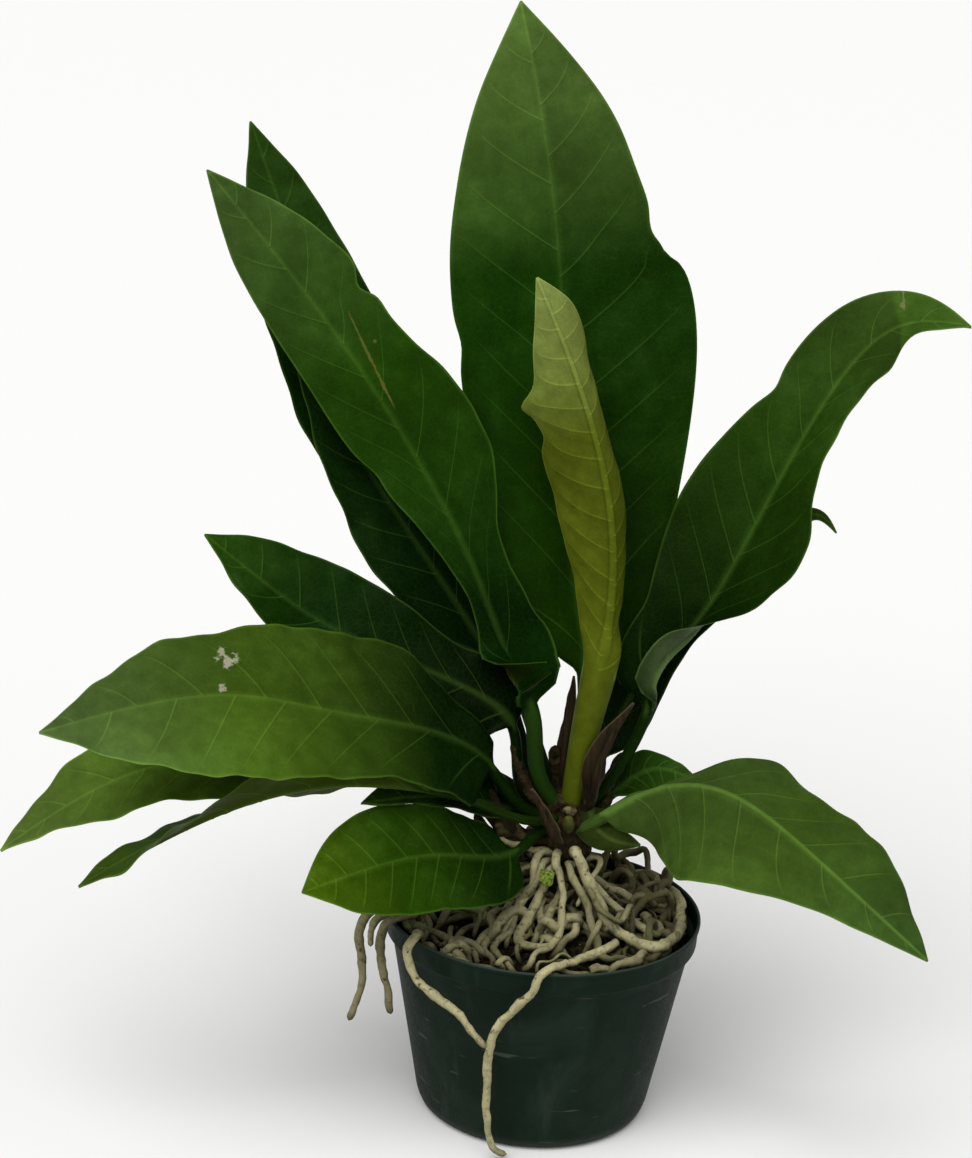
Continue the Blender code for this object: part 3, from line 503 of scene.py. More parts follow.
def ease(x):
    x = np.clip(x, 0.0, 1.0)
    return x * x * (3 - 2 * x)


def lumps(points, size, seed):
    """Smooth noise from -1 to 1 over points, with blobs of the given size."""
    cell = np.asarray(points, float) / size
    base = np.floor(cell)
    part = cell - base
    part = part * part * (3 - 2 * part)
    total = np.zeros(cell.shape[:-1])
    for corner in np.ndindex(2, 2, 2):
        at = base + corner
        hashed = np.sin(at @ (127.1, 311.7, 74.7) + 19.19 * seed) * 43758.5453
        value = 2 * (hashed - np.floor(hashed)) - 1
        weight = np.prod(np.where(np.array(corner) == 1, part, 1 - part), axis=-1)
        total += weight * value
    return total


def add_object(name, data):
    made = bpy.data.objects.new(name, data)
    bpy.context.scene.collection.objects.link(made)
    return made


def mesh_piece(name, points, faces, attributes=None):
    """An object from points in millimetres, with one number a point per attribute."""
    mesh = bpy.data.meshes.new(name)
    mesh.from_pydata((np.asarray(points, float) * MM).tolist(), [], faces)
    for key, values in (attributes or {}).items():
        layer = mesh.attributes.new(key, "FLOAT", "POINT")
        layer.data.foreach_set("value", np.asarray(values, np.float32).ravel())
    mesh.update()
    mesh.polygons.foreach_set("use_smooth", [True] * len(mesh.polygons))
    return add_object(name, mesh)


def ring_faces(rows, count):
    """Faces of a closed skin over rows of rings, each of count points."""
    faces = []
    for j in range(rows - 1):
        for i in range(count):
            k = (i + 1) % count
            a, b = j * count, (j + 1) * count
            faces.append((a + k, a + i, b + i, b + k))
    faces.append(tuple(range(count)))
    faces.append(tuple(reversed(range((rows - 1) * count, rows * count))))
    return faces


def ring_piece(name, rings, attributes=None):
    """An object from rows of rings, closed at both ends."""
    return mesh_piece(name, rings.reshape(-1, 3), ring_faces(*rings.shape[:2]), attributes)


def add_part(piece, slot, look, *nodes):
    """Gives a piece its body and material, and hides the solids that it stands for."""
    piece.data.materials.append(look)
    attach(piece, "root")
    if nodes:
        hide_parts(*nodes)


def thousandths(colour):
    """A colour that a table of the leaves gives in thousandths."""
    return tuple(channel / 1000 for channel in colour)


# Materials

class Look:
    """A Principled material and short ways to add nodes to it."""

    def __init__(self, name, specular=0.5):
        self.material = bpy.data.materials.new(name)
        self.material.use_nodes = True
        self.tree = self.material.node_tree
        self.shader = self.tree.nodes["Principled BSDF"]
        self.shader.inputs["Specular IOR Level"].default_value = specular
        self.place = self.node("ShaderNodeTexCoord").outputs["Object"]

    def node(self, kind, feeds=(), **settings):
        """A new node, with its settings and what feeds its inputs."""
        made = self.tree.nodes.new(kind)
        for key, value in settings.items():
            setattr(made, key, value)
        for key, value in dict(feeds).items():
            self.feed(made.inputs[key], value)
        return made

    def feed(self, socket, value):
        if isinstance(value, bpy.types.NodeSocket):
            self.tree.links.new(value, socket)
        elif isinstance(value, tuple) and socket.type == "RGBA":
            socket.default_value = (*value, 1.0)
        else:
            socket.default_value = value

    def attribute(self, name):
        return self.node("ShaderNodeAttribute", attribute_name=name).outputs["Fac"]

    def noise(self, scale, detail=3.0, roughness=0.55, place=None, distortion=0.0):
        feeds = dict(Scale=scale, Detail=detail, Roughness=roughness, Distortion=distortion)
        feeds["Vector"] = place or self.place
        return self.node("ShaderNodeTexNoise", feeds).outputs["Fac"]

    def cells(self, scale, feature="DISTANCE_TO_EDGE"):
        feeds = dict(Scale=scale, Vector=self.place)
        return self.node("ShaderNodeTexVoronoi", feeds, feature=feature).outputs["Distance"]

    def stretched(self, x, y, z):
        feeds = dict(Scale=(x, y, z), Vector=self.place)
        return self.node("ShaderNodeMapping", feeds).outputs["Vector"]

    def height(self):
        return self.node("ShaderNodeSeparateXYZ", {0: self.place}).outputs["Z"]

    def ramp(self, value, low, high, start=0.0, end=1.0):
        """Turns low..high into start..end, held at both ends."""
        feeds = {"Value": value, "From Min": low, "From Max": high, "To Min": start, "To Max": end}
        return self.node("ShaderNodeMapRange", feeds, clamp=True).outputs["Result"]

    def maths(self, kind, a, b=0.0):
        return self.node("ShaderNodeMath", {0: a, 1: b}, operation=kind).outputs[0]

    def scaled(self, value, gain, lift=None):
        """A colour times a number or socket, plus a fixed lift."""
        feeds = {0: value, "Scale": gain}
        made = self.node("ShaderNodeVectorMath", feeds, operation="SCALE").outputs[0]
        if lift:
            made = self.node("ShaderNodeVectorMath", {0: made, 1: lift}, operation="ADD").outputs[0]
        return made

    def seen_from_front(self, operation, x, z):
        """Distance or dot product of the place, with depth left out, and x, z."""
        feeds = {0: self.stretched(1.0, 0.0, 1.0), 1: (x, 0.0, z)}
        return self.node("ShaderNodeVectorMath", feeds, operation=operation).outputs["Value"]

    def ragged(self, distance, size, roughness):
        """1 near zero distance and 0 past the size, with a ragged edge."""
        reach = roughness * size
        edge = self.ramp(self.noise(330.0, 3.0, 0.6), 0.3, 0.7, -reach, reach)
        return self.ramp(self.maths("ADD", distance, edge), size, 0.5 * size)

    def spot(self, x, z, size):
        """A ragged spot at x and z."""
        return self.ragged(self.seen_from_front("DISTANCE", x, z), size, 0.7)

    def streak(self, x, z, dx, dz, width):
        """A thin ragged line that starts at x, z and ends dx, dz further on."""
        length = math.hypot(dx, dz)

        def measured(ax, az):
            return self.maths("SUBTRACT", self.seen_from_front("DOT_PRODUCT", ax, az), ax * x + az * z)

        along = self.maths("SUBTRACT", measured(dx / length, dz / length), 0.5 * length)
        along = self.ramp(self.maths("ABSOLUTE", along), 0.5 * length, 0.4 * length)
        aside = self.maths("ABSOLUTE", measured(dz / length, -dx / length))
        return self.maths("MULTIPLY", self.ragged(aside, width, 0.5), along)

    def blend(self, share, a, b, most=1.0):
        """Colour a, with up to the given most of b where the share is 1."""
        if most < 1.0:
            share = self.maths("MULTIPLY", share, most)
        return self.node("ShaderNodeMix", {0: share, 6: a, 7: b}, data_type="RGBA").outputs[2]

    def finished(self, colour, roughness, *layers):
        """The material, with layers of height, each with its size in millimetres."""
        surface = {"Base Color": colour, "Roughness": roughness}
        for height, size in layers:
            feeds = {"Strength": 1.0, "Distance": size * MM, "Height": height}
            if "Normal" in surface:
                feeds["Normal"] = surface["Normal"]
            surface["Normal"] = self.node("ShaderNodeBump", feeds).outputs["Normal"]
        for key, value in surface.items():
            self.feed(self.shader.inputs[key], value)
        return self.material


def leaf_look(name, leaf):
    """Waxy leaf: mottled green, pale veins and margin, paler matt underside, with painted shade towards the
    crown and on one half, and a painted sheen on the tip and in patches.
    """
    look = Look(name, 0.03)
    look.shader.inputs["Specular Tint"].default_value = (0.8, 1.0, 0.5, 1.0)
    base, middle, tip, below = map(thousandths, leaf["tones"])
    blade = look.attribute("blade")
    patches = look.noise(15.0, 3.0, 0.55, distortion=0.6)
    mottle = look.noise(120.0, 4.0, 0.6)
    cells = look.cells(340.0)
    # painted shade and sheen: the upper side runs from the dark base tone, painted shade near the crown,
    # through the middle to the pale tip tone, a painted sheen
    tone = look.blend(look.ramp(blade, 0.17, 0.58), base, middle)
    tone = look.blend(look.ramp(blade, 0.6, 0.97), tone, tip)
    if leaf["yellow"]:
        start, faded = leaf["yellow"]
        tone = look.blend(look.ramp(blade, start, start + 0.01), tone, thousandths(faded))
    # painted light: each half scaled by its gain
    tone = look.scaled(tone, look.attribute("gain"))
    tone = look.scaled(tone, look.ramp(patches, 0.32, 0.68, 0.78, 1.25))
    # painted sheen: the upper side turns paler and greyer in patches, more so towards the tip
    painted_sheen = look.maths("MULTIPLY", look.ramp(patches, 0.45, 0.7), look.ramp(mottle, 0.35, 0.7, 0.25, 1.0))
    painted_sheen = look.maths("MULTIPLY", painted_sheen, look.ramp(blade, 0.1, 0.7, 0.15, 0.55))
    tone = look.blend(painted_sheen, tone, look.scaled(tone, 1.3, (0.008, 0.011, 0.005)))
    tone = look.blend(look.attribute("under"), tone, below)
    tone = look.scaled(tone, look.ramp(mottle, 0.3, 0.7, 0.86, 1.16))
    pale = look.scaled(tone, 1.7, (0.024, 0.045, 0.007))
    tone = look.blend(look.ramp(cells, 0.0, 0.05, 0.14, 0.0), tone, pale)
    for key, most in (("rib", 0.5), ("vein", 0.65), ("rim", 0.7)):
        tone = look.blend(look.attribute(key), tone, pale, most)
    for *spot, colour in leaf["marks"]:
        tone = look.blend(look.spot(*(MM * value for value in spot)), tone, thousandths(colour), 0.8)
    for *line, colour in leaf["streaks"]:
        tone = look.blend(look.streak(*(MM * value for value in line)), tone, thousandths(colour), 0.7)
    return look.finished(
        tone, look.ramp(look.noise(40.0, 4.0, 0.6), 0.3, 0.7, 0.38, 0.52),
        (look.ramp(cells, 0.0, 0.2), 0.05), (mottle, 0.18), (look.noise(900.0, 2.0), 0.05),
    )


def root_look():
    """Dry cream skin with brown scars and some green algae, with painted shade that browns the undersides
    and low parts and turns it nearly black close to the mix.
    """
    pale = (0.46, 0.425, 0.235)
    shaded = tuple(0.62 * channel for channel in pale)
    brown = (0.045, 0.036, 0.013)
    green = (0.080, 0.110, 0.018)
    look = Look("root_skin", 0.08)
    grain = look.noise(420.0, 5.0, 0.65)
    tone = look.blend(look.ramp(look.noise(70.0, 3.0, 0.6), 0.38, 0.68), pale, shaded)
    tone = look.blend(look.ramp(grain, 0.52, 0.72, 0.0, 0.7), tone, brown)
    tone = look.blend(look.ramp(look.noise(190.0, 2.0, 0.5), 0.64, 0.70, 0.0, 0.85), tone, brown)
    # brown from age, together with painted shade under the roots and near the mix
    tone = look.blend(look.attribute("age_and_shade"), tone, brown, 0.85)
    algae = look.maths("MULTIPLY", look.attribute("algae"), look.ramp(look.noise(260.0, 3.0), 0.42, 0.6))
    tone = look.blend(algae, tone, green)
    # painted shade: nearly black where the skin is close to the mix
    return look.finished(
        look.scaled(tone, look.ramp(look.attribute("painted_pit_shade"), 0.0, 1.0, 1.0, 0.06)), 0.82,
        (grain, 0.9), (look.noise(1500.0, 3.0), 0.3),
    )


def pot_look():
    """Dark green moulded plastic, scuffed and dusty, paler along the top of the lip, worn pale on the foot.
    """
    look = Look("pot_plastic", 0.06)
    dust = look.ramp(look.noise(22.0, 5.0, 0.65, distortion=0.8), 0.46, 0.74)
    fine = look.noise(600.0, 4.0, 0.6)
    streak = look.ramp(look.noise(60.0, 4.0, 0.6, look.stretched(1.0, 1.0, 0.12)), 0.60, 0.72)
    scratch = look.ramp(look.noise(90.0, 2.0, 0.5, look.stretched(0.35, 0.35, 3.0)), 0.685, 0.72)
    lip = look.ramp(look.height(), (POT_HEIGHT - 1.2) * MM, POT_HEIGHT * MM)
    foot = look.ramp(look.height(), 8 * MM, 0.0)
    tone = look.blend(dust, (0.003, 0.010, 0.005), (0.010, 0.020, 0.012))
    tone = look.blend(streak, tone, (0.045, 0.062, 0.045), 0.2)
    tone = look.blend(scratch, tone, (0.09, 0.11, 0.085), 0.3)
    tone = look.blend(lip, tone, (0.075, 0.105, 0.085), 0.35)
    return look.finished(
        look.blend(foot, tone, (0.045, 0.045, 0.033), 0.5), look.ramp(fine, 0.3, 0.7, 0.44, 0.60),
        (fine, 0.12), (look.noise(35.0, 2.0), 1.2),
    )


def mix_look():
    """Peat and bark: nearly black, with brown and pale crumbs."""
    look = Look("potting_mix_peat", 0.03)
    crumbs = look.noise(330.0, 5.0, 0.7)
    tone = look.blend(look.ramp(crumbs, 0.42, 0.66), (0.005, 0.004, 0.002), (0.034, 0.025, 0.011))
    pale = look.ramp(look.noise(500.0, 2.0), 0.66, 0.72, 0.0, 0.8)
    return look.finished(
        look.blend(pale, tone, (0.17, 0.15, 0.08)), 0.95,
        (crumbs, 2.2), (look.cells(170.0, feature="F1"), 1.5),
    )


def bark_look():
    """Flaky bark with a grain across it."""
    look = Look("bark_flaky", 0.08)
    grain = look.noise(260.0, 5.0, 0.7, look.stretched(1.0, 2.2, 1.0))
    return look.finished(
        look.blend(look.ramp(grain, 0.36, 0.66), (0.030, 0.017, 0.010), (0.16, 0.095, 0.055)), 0.9,
        (grain, 1.6), (look.noise(900.0, 3.0), 0.5),
    )


def sheath_look():
    """Papery dry sheath: maroon brown with long fibres and a pale rim."""
    look = Look("sheath_papery", 0.08)
    fibres = look.noise(300.0, 4.0, 0.6, look.stretched(1.0, 1.0, 0.14))
    tone = look.blend(look.ramp(fibres, 0.35, 0.65), (0.006, 0.004, 0.0012), (0.024, 0.015, 0.005))
    return look.finished(
        look.blend(look.attribute("rim"), tone, (0.10, 0.075, 0.04), 0.5), 0.6,
        (fibres, 1.2),
    )


def stem_look():
    """Rough dark bark with paler scars."""
    look = Look("stem_bark", 0.06)
    grain = look.noise(240.0, 5.0, 0.7)
    tone = look.blend(look.ramp(grain, 0.36, 0.66), (0.004, 0.003, 0.001), (0.032, 0.023, 0.009))
    scars = look.ramp(look.noise(90.0, 2.0), 0.6, 0.7, 0.0, 0.6)
    return look.finished(look.blend(scars, tone, (0.11, 0.088, 0.036)), 0.88, (grain, 2.0))


def speckled_look(name, roughness, speckle, low, high, dark, light, bump):
    """Two colours in fine noise of the given scale, for the smallest parts."""
    look = Look(name, 0.1)
    tone = look.blend(look.ramp(look.noise(speckle), low, high), dark, light)
    return look.finished(tone, roughness, (look.noise(*bump[:-1]), bump[-1]))


# Leaves

# Places across one half of a leaf: over the midrib, then out to the margin.
RIB_STEPS = (0.0, 0.14, 0.3, 0.5, 0.75, 1.0)
BLADE_STEPS = (0.05, 0.11, 0.18, 0.26, 0.34, 0.43, 0.52, 0.61, 0.70, 0.78, 0.85, 0.91, 0.955, 0.985, 1.0)

# Places that its tables hold, rows of blade and stalk, more rows over the share of the blade
# that is its foot, and steps that bend a half outward.
FINE = 900
BLADE_ROWS = 84
STALK_ROWS = 14
FOOT_ROWS = 18
FOOT = 0.06
BEND_STEPS = 12

# Half thickness of the blade in the middle and at the margin. Half width of a side vein, its
# height on the upper side and the underside, and the swell of the blade between two veins.
BLADE_HALF = 0.36
MARGIN_HALF = 0.08
VEIN_HALF = 0.62
VEIN_RISE = 0.30
VEIN_DROP = 0.22
VEIN_SWELL = 0.026

# Midrib: half width at the foot of the blade and the share of it lost at the tip, then its
# height over the upper side and under the underside, and how much of each the tip loses.
RIB_HALF = 2.3
RIB_TAPER = 0.68
RIDGE = 0.75
RIDGE_LOSS = 0.5
KEEL = 2.4
KEEL_LOSS = 1.9


def leaf_tables(leaf):
    """Everything that changes along a leaf, read at FINE places from crown to tip."""
    along = np.linspace(0, 1, FINE)
    middle = even_path(leaf["spine"], FINE)
    ahead = unit(np.gradient(middle, axis=0))
    face = unit(np.asarray(leaf["face"], float))
    places = np.linspace(0, 1, len(face))
    if len(face) < 3:
        face = np.stack([np.interp(along, places, face[:, k]) for k in range(3)], 1)
    else:
        face = smooth_curve(places, face, along)
    up = unit(face - np.sum(face * ahead, 1, keepdims=True) * ahead)
    blade = np.clip((along - leaf["stalk"]) / (1 - leaf["stalk"]), 0, 1)
    girth = np.interp(along, (0, leaf["stalk"]), leaf["girth"])
    length = path_length(middle)
    table = dict(along=along, middle=middle, up=up, blade=blade, girth=girth, length=length)
    table["aside"] = np.cross(ahead, up)
    for half, side in enumerate(("left", "right")):
        stations = (*leaf[side], 0.5)
        wide = np.maximum(smooth_curve(np.linspace(0, 1, len(stations)), stations, blade), 0.5)
        for part, spot, depth, reach in leaf["nicks"]:
            if part == side:
                wide = wide * (1 - depth * np.exp(-(((blade - spot) / reach) ** 2)))
        grown = ease(blade / leaf["onset"])
        table[side] = np.where(blade > 0, (1 - grown) * girth + grown * wide, girth)
        for key in ("fold", "curl"):
            angles = leaf[key][half]
            turn = np.full(FINE, angles[0], float)
            if len(angles) > 1:
                turn = smooth_curve(np.linspace(0, 1, len(angles)), angles, blade)
            if key == "fold":
                turn = turn + leaf["cup"][half] * (1 - ease(blade / leaf["cup"][2]))
            table[key + "_" + side] = np.radians(turn * ease(blade / leaf["onset"]))
    return table


def read(table, key, at):
    """One of a leaf's tables at places between its own."""
    values = table[key]
    if values.ndim == 1:
        return np.interp(at, table["along"], values)
    return np.stack([np.interp(at, table["along"], values[:, k]) for k in range(3)], -1)


def vein_places(leaf, shift, seed):
    """Where the side veins of one half leave the midrib, as shares of the blade."""
    count = leaf["veins"][0]
    if not count:
        return np.zeros(0)
    steps = (np.arange(count) + 0.35 + shift) / (count + 0.55)
    steps += 0.16 / count * np.sin(7.1 * np.arange(count) + seed)
    return np.clip(steps, 0.012, 0.97)


def half_leaf(leaf, table, side, rows, vein_rows, blade_rows):
    """Points of the upper side and underside of one half, rows by columns."""
    half = int(side == "right")
    sign = 1 if half else -1
    stalk = leaf["stalk"]
    _, sweep, arch = leaf["veins"]
    start = rows[:, None]
    wide = read(table, side, rows)[:, None]
    blade0 = blade_rows[:, None]
    rib_width = np.minimum(RIB_HALF * (1 - RIB_TAPER * blade0), 0.5 * wide)
    rib_width = np.where(start < stalk, 0.5 * wide, rib_width)
    inner = rib_width * np.array(RIB_STEPS)
    outer = rib_width + (wide - rib_width) * np.array(BLADE_STEPS)
    share = np.concatenate([inner, outer], 1) / wide
    forward = sweep * ease(0.3 + blade0 / 0.14) * (1 - blade0**3) * ease(blade0 / 0.03)
    at = np.minimum(start + forward * (1 - stalk) * ((1 - arch) * share + arch * share**2), 1.0)
    blade = read(table, "blade", at)
    width = read(table, side, at) * share
    tilt = read(table, "fold_" + side, at)
    curl = read(table, "curl_" + side, at)
    steps = (np.arange(BEND_STEPS) + 0.5) / BEND_STEPS
    lean = tilt[..., None] + (curl * share)[..., None] * steps
    aside = read(table, "aside", at)
    up = read(table, "up", at)
    place = read(table, "middle", at)
    place = place + (width * sign * np.cos(lean).mean(-1))[..., None] * aside
    place = place + (width * np.sin(lean).mean(-1))[..., None] * up
    lean = tilt + curl * share
    out = np.cos(lean)[..., None] * up - (sign * np.sin(lean))[..., None] * aside
    out[:, 0] = up[:, 0]

    *ripples, count, begin = leaf["wave"]
    turn = 2 * np.pi * (count * blade + begin + 0.37 * half)
    swing = np.sin(turn) + 0.45 * np.sin(2.3 * turn + 1.0)
    lift = ripples[half] * swing * share**3 * ease(blade / 0.12) * ease((1 - blade) / 0.1)

    vein = np.zeros_like(share)
    if len(vein_rows):
        index = np.interp(blade0, vein_rows, np.arange(len(vein_rows)))
        begun = ease((blade0 - vein_rows[0] * 0.3) / 0.05)
        swell = np.sin(np.pi * index) ** 2 * np.minimum(begun, ease((vein_rows[-1] - blade0) / 0.02))
        body = ease((share - rib_width / wide) / 0.16) * ease((1.0 - share) / 0.25)
        lift = lift + VEIN_SWELL * wide**0.9 * swell * body
        on_vein = np.min(np.abs(blade0 - vein_rows), axis=1, keepdims=True) < 1e-6
        reach = np.clip((0.94 - share) / 0.3, 0, 1) * (1 - 0.35 * share)
        vein = on_vein * reach * ease(1.3 - 0.5 * blade0)

    flat = ease(blade / 0.15)
    round_rise = read(table, "girth", at) * np.sqrt(np.clip(1 - share**2, 0, 1))
    thin = BLADE_HALF * np.sqrt(np.clip(1 - share**6, 0, 1)) + MARGIN_HALF
    from_rib = width / np.maximum(rib_width, 0.2)
    hump = np.sqrt(np.clip(1 - from_rib**2, 0, 1))
    hump = np.where(start < stalk, 0.0, hump)
    ridge = (RIDGE - RIDGE_LOSS * blade) * hump
    keel = (KEEL - KEEL_LOSS * blade) * hump
    rise = (1 - flat) * round_rise + flat * (thin + ridge) + VEIN_RISE * vein
    drop = (1 - flat) * round_rise + flat * (thin + keel) + VEIN_DROP * vein
    top = place + (lift + rise)[..., None] * out
    under = place + (lift - drop)[..., None] * out
    rib = np.clip(1.25 - from_rib, 0, 1)
    rib = np.where(start < stalk, leaf["stalk_glow"], rib) * (1 - 0.3 * blade) * leaf["rib_glow"]
    rim = np.clip((width - (read(table, side, at) - 0.9)) / 0.6, 0, 1) * (start > stalk)
    # painted light: the gain of each half makes the half that faces the light paler and the other darker
    mean = sum(leaf["sides"]) / 2
    gain = mean + (leaf["sides"][half] - mean) * ease(share / 0.1)
    return top, under, dict(vein=vein, rib=rib, rim=rim, blade=blade, gain=gain)


def leaf_piece(name, leaf):
    """Blade, midrib and stalk in one closed skin."""
    table = leaf_tables(leaf)
    stalk = leaf["stalk"]
    blade_length = table["length"] * (1 - stalk)
    gap = VEIN_HALF / blade_length
    left_veins = vein_places(leaf, 0.0, 0.3)
    right_veins = vein_places(leaf, 0.42, 2.0)
    veins = np.concatenate([left_veins, right_veins])
    special = np.concatenate([veins - gap, veins, veins + gap])
    plain = np.concatenate([np.linspace(0, FOOT, FOOT_ROWS)[:-1], np.linspace(FOOT, 1, BLADE_ROWS)])
    if len(veins):
        near = np.min(np.abs(plain[:, None] - veins), axis=1)
        plain = plain[(near > 2.0 * gap) | (plain == 0) | (plain == 1)]
    blade_rows = np.unique(np.concatenate([plain, special[(special > 0) & (special < 1)]]))
    stalk_rows = np.linspace(0, stalk, STALK_ROWS + 1)[:-1]
    rows = np.concatenate([stalk_rows, stalk + (1 - stalk) * blade_rows])
    blades = np.concatenate([np.zeros(STALK_ROWS), blade_rows])
    left = half_leaf(leaf, table, "left", rows, left_veins, blades)
    right = half_leaf(leaf, table, "right", rows, right_veins, blades)

    def across(a, b):
        """Both halves as one row from the left margin to the right one."""
        return np.concatenate([a[:, :0:-1], b], 1)

    top = across(left[0], right[0])
    under = across(left[1], right[1])
    rings = np.concatenate([top, under[:, ::-1]], 1)
    attributes = {}
    for key in left[2]:
        one = across(left[2][key], right[2][key])
        attributes[key] = np.concatenate([one, one[:, ::-1]], 1)
    below = np.concatenate([np.zeros(top.shape[:2]), np.ones(top.shape[:2])], 1)
    attributes["under"] = below * leaf["paler"] * ease(blades / 0.05)[:, None]
    return ring_piece(name, rings, attributes)


# Roots

ROOT_SIDES = 16
ROOT_STEP = 1.3
THIN_SIDES = 10
THIN_STEP = 1.8


def wobble(points, size, seed):
    """Smooth noise in all three directions."""
    return np.stack([lumps(points, size, seed + k) for k in range(3)], 1)


def root_strand(radius, line, seed, age_and_shade=0.0, algae=0.0, wiggle=0.5, thin=False, potted=True):
    """Points, faces and attributes of one knobbly tapering root.

    The brownness given says how brown it is, and painted shade under the root and low down near the mix is
    added to it. potted: whether it lies on the mix, and so gets painted shade toward it.
    """
    length = path_length(np.asarray(line, float))
    count = max(12, int(length / (THIN_STEP if thin else ROOT_STEP)))
    sides_round = THIN_SIDES if thin else ROOT_SIDES
    middle = even_path(line, count)
    share = np.linspace(0, 1, count)
    wander = wobble(middle, 8.0, seed)
    if potted:
        wander = wander + 1.3 * wobble(middle, 21.0, seed + 11)
    middle = middle + wiggle * ease(share * 8)[:, None] * wander
    ahead = unit(np.gradient(middle, axis=0))
    side = np.cross(ahead[0], (0.3, 0.2, 1.0))
    sides = []
    for direction in ahead:
        side = unit(side - np.dot(side, direction) * direction)
        sides.append(side)
    sides = np.array(sides)
    ups = np.cross(ahead, sides)
    size = radius * (1 - 0.25 * share + 0.06 * np.sin(9 * share + radius))
    size = size * (1 + 0.13 * lumps(middle + 31.0 * seed, 6.0, seed))
    left = np.minimum((1 - share) * length / radius, 1.0)
    size = size * np.sqrt(np.clip(1 - (1 - left) ** 2, 0.02, 1))
    turn = np.linspace(0, 2 * np.pi, sides_round, endpoint=False)
    out = np.cos(turn)[None, :, None] * sides[:, None] + np.sin(turn)[None, :, None] * ups[:, None]
    skin = middle[:, None] + size[:, None, None] * out
    rough = 0.2 * lumps(skin, 3.4, seed + 5) + 0.08 * lumps(skin, 1.5, seed + 7)
    skin = skin + (rough * size[:, None])[..., None] * out
    patch = np.clip(0.5 + 0.8 * lumps(skin, 16.0, seed + 3), 0, 1)
    end = ease((share - 0.93) / 0.07)[:, None]
    # painted shade: faces that turn downward darken, and on potted roots so does skin low down near the mix
    painted_under_shade = 0.7 * np.clip(0.3 - out[..., 2], 0, 1)
    painted_pit_shade = np.zeros(patch.shape)
    if potted:
        painted_under_shade = painted_under_shade + 0.4 * np.clip((POT_HEIGHT + 3.0 - skin[..., 2]) / 10.0, 0, 1)
        # painted shade: skin close to the surface of the mix darkens, standing in for the shade between the
        # roots
        above = skin[..., 2] - ground(np.hypot(skin[..., 0], skin[..., 1]))
        painted_pit_shade = np.clip(1 - (above - 1.0) / 4.5, 0, 1)
    attributes = dict(
        painted_pit_shade=painted_pit_shade,
        age_and_shade=np.clip(age_and_shade * (0.6 + 0.8 * patch) + 0.5 * end + painted_under_shade, 0, 1),
        algae=np.clip(algae * patch * 1.6, 0, 1),
    )
    return skin.reshape(-1, 3), ring_faces(count, sides_round), attributes


def root_piece(name, strands):
    """One object of several strands, each a closed skin of its own."""
    points, faces, attributes = [], [], {"painted_pit_shade": [], "age_and_shade": [], "algae": []}
    start = 0
    for k, (radius, line, settings) in enumerate(strands):
        skin, skin_faces, more = root_strand(radius, line, k + len(name), **settings)
        points.append(skin)
        faces.extend(tuple(start + i for i in face) for face in skin_faces)
        for key in attributes:
            attributes[key].append(more[key].ravel())
        start += len(skin)
    joined = {key: np.concatenate(value) for key, value in attributes.items()}
    return mesh_piece(name, np.concatenate(points), faces, joined)


def wandering_roots(count, seed, radii, reaches, steps, rise, turns):
    """Thin roots that wander over the mix and dive into it at both ends."""
    draw = np.random.default_rng(seed)
    made = []
    for _ in range(count):
        radius = draw.uniform(*radii)
        turn = np.radians(draw.uniform(*turns))
        place = draw.uniform(*reaches) * np.array([np.cos(turn), np.sin(turn)])
        heading = turn + draw.normal(0, 1.2)
        level = draw.uniform(0.1, 1)
        bend = draw.normal(0, 0.12)
        stages = draw.integers(*steps)
        line = []
        for k in range(stages):
            away = np.linalg.norm(place)
            if away > THIN_REACH:
                place = place * THIN_REACH / away
                away = THIN_REACH
                heading += 0.9 * np.sign(bend + 0.01)
            heap = rise * (1 - 0.62 * away / THIN_REACH)
            sunk = k in (0, stages - 1)
            over = -1.5 if sunk else 0.6 * radius + level * heap * draw.uniform(0.5, 1.0)
            line.append((*place, ground(away) + over))
            heading += bend + draw.normal(0, 0.6)
            place = place + THIN_STRIDE * np.array([np.cos(heading), np.sin(heading)])
        x, y, _ = line[0]
        shade = 0.62 + 0.36 * np.clip((x + 0.7 * y) / 50, -1, 1) + draw.normal(0, 0.17)
        algae = draw.uniform(0, 0.35)
        made.append((radius, line, dict(age_and_shade=np.clip(shade, 0.1, 1), algae=algae, wiggle=0.8, thin=True)))
    return made


def build_roots(look):
    tangle = [
        (radius * (0.66 + 0.05 * (k % 4)), line, dict(age_and_shade=0.10 + 0.12 * (3 * k % 5), algae=0.2, wiggle=1.3))
        for k, (radius, line) in enumerate(ROOTS)
    ]
    add_part(root_piece("root_tangle", tangle), "root_cream", look, "aerial_roots")
    for name, groups in THIN_ROOTS.items():
        strands = [strand for group in groups for strand in wandering_roots(*group)]
        add_part(root_piece(name, strands), "root_cream", look)
    for name, solid, lines, girth, age_and_shade in (
        ("root_pair_front", "roots_over_front", FRONT_ROOTS, 0.84, 0.0),
        ("root_trio_left", "roots_over_left", LEFT_ROOTS, 1.0, 0.45),
    ):
        strands = [(girth * radius, line, dict(age_and_shade=age_and_shade, potted=False)) for radius, line in lines]
        add_part(root_piece(name, strands), "root_cream", look, solid)


# Pot, mix and crown

POT_SIDES = 176
POT_STEP = 4.0
MIX_SIDES = 220
STEM_SIDES = 110
STEM_ROWS = 90
SHELF = POT_HEIGHT - COLLAR_HEIGHT


def ground(radius):
    """Height of the heaped surface of the mix under the roots."""
    return MIX_EDGE + HEAP * np.exp(-((radius / HEAP_RADIUS) ** 2))


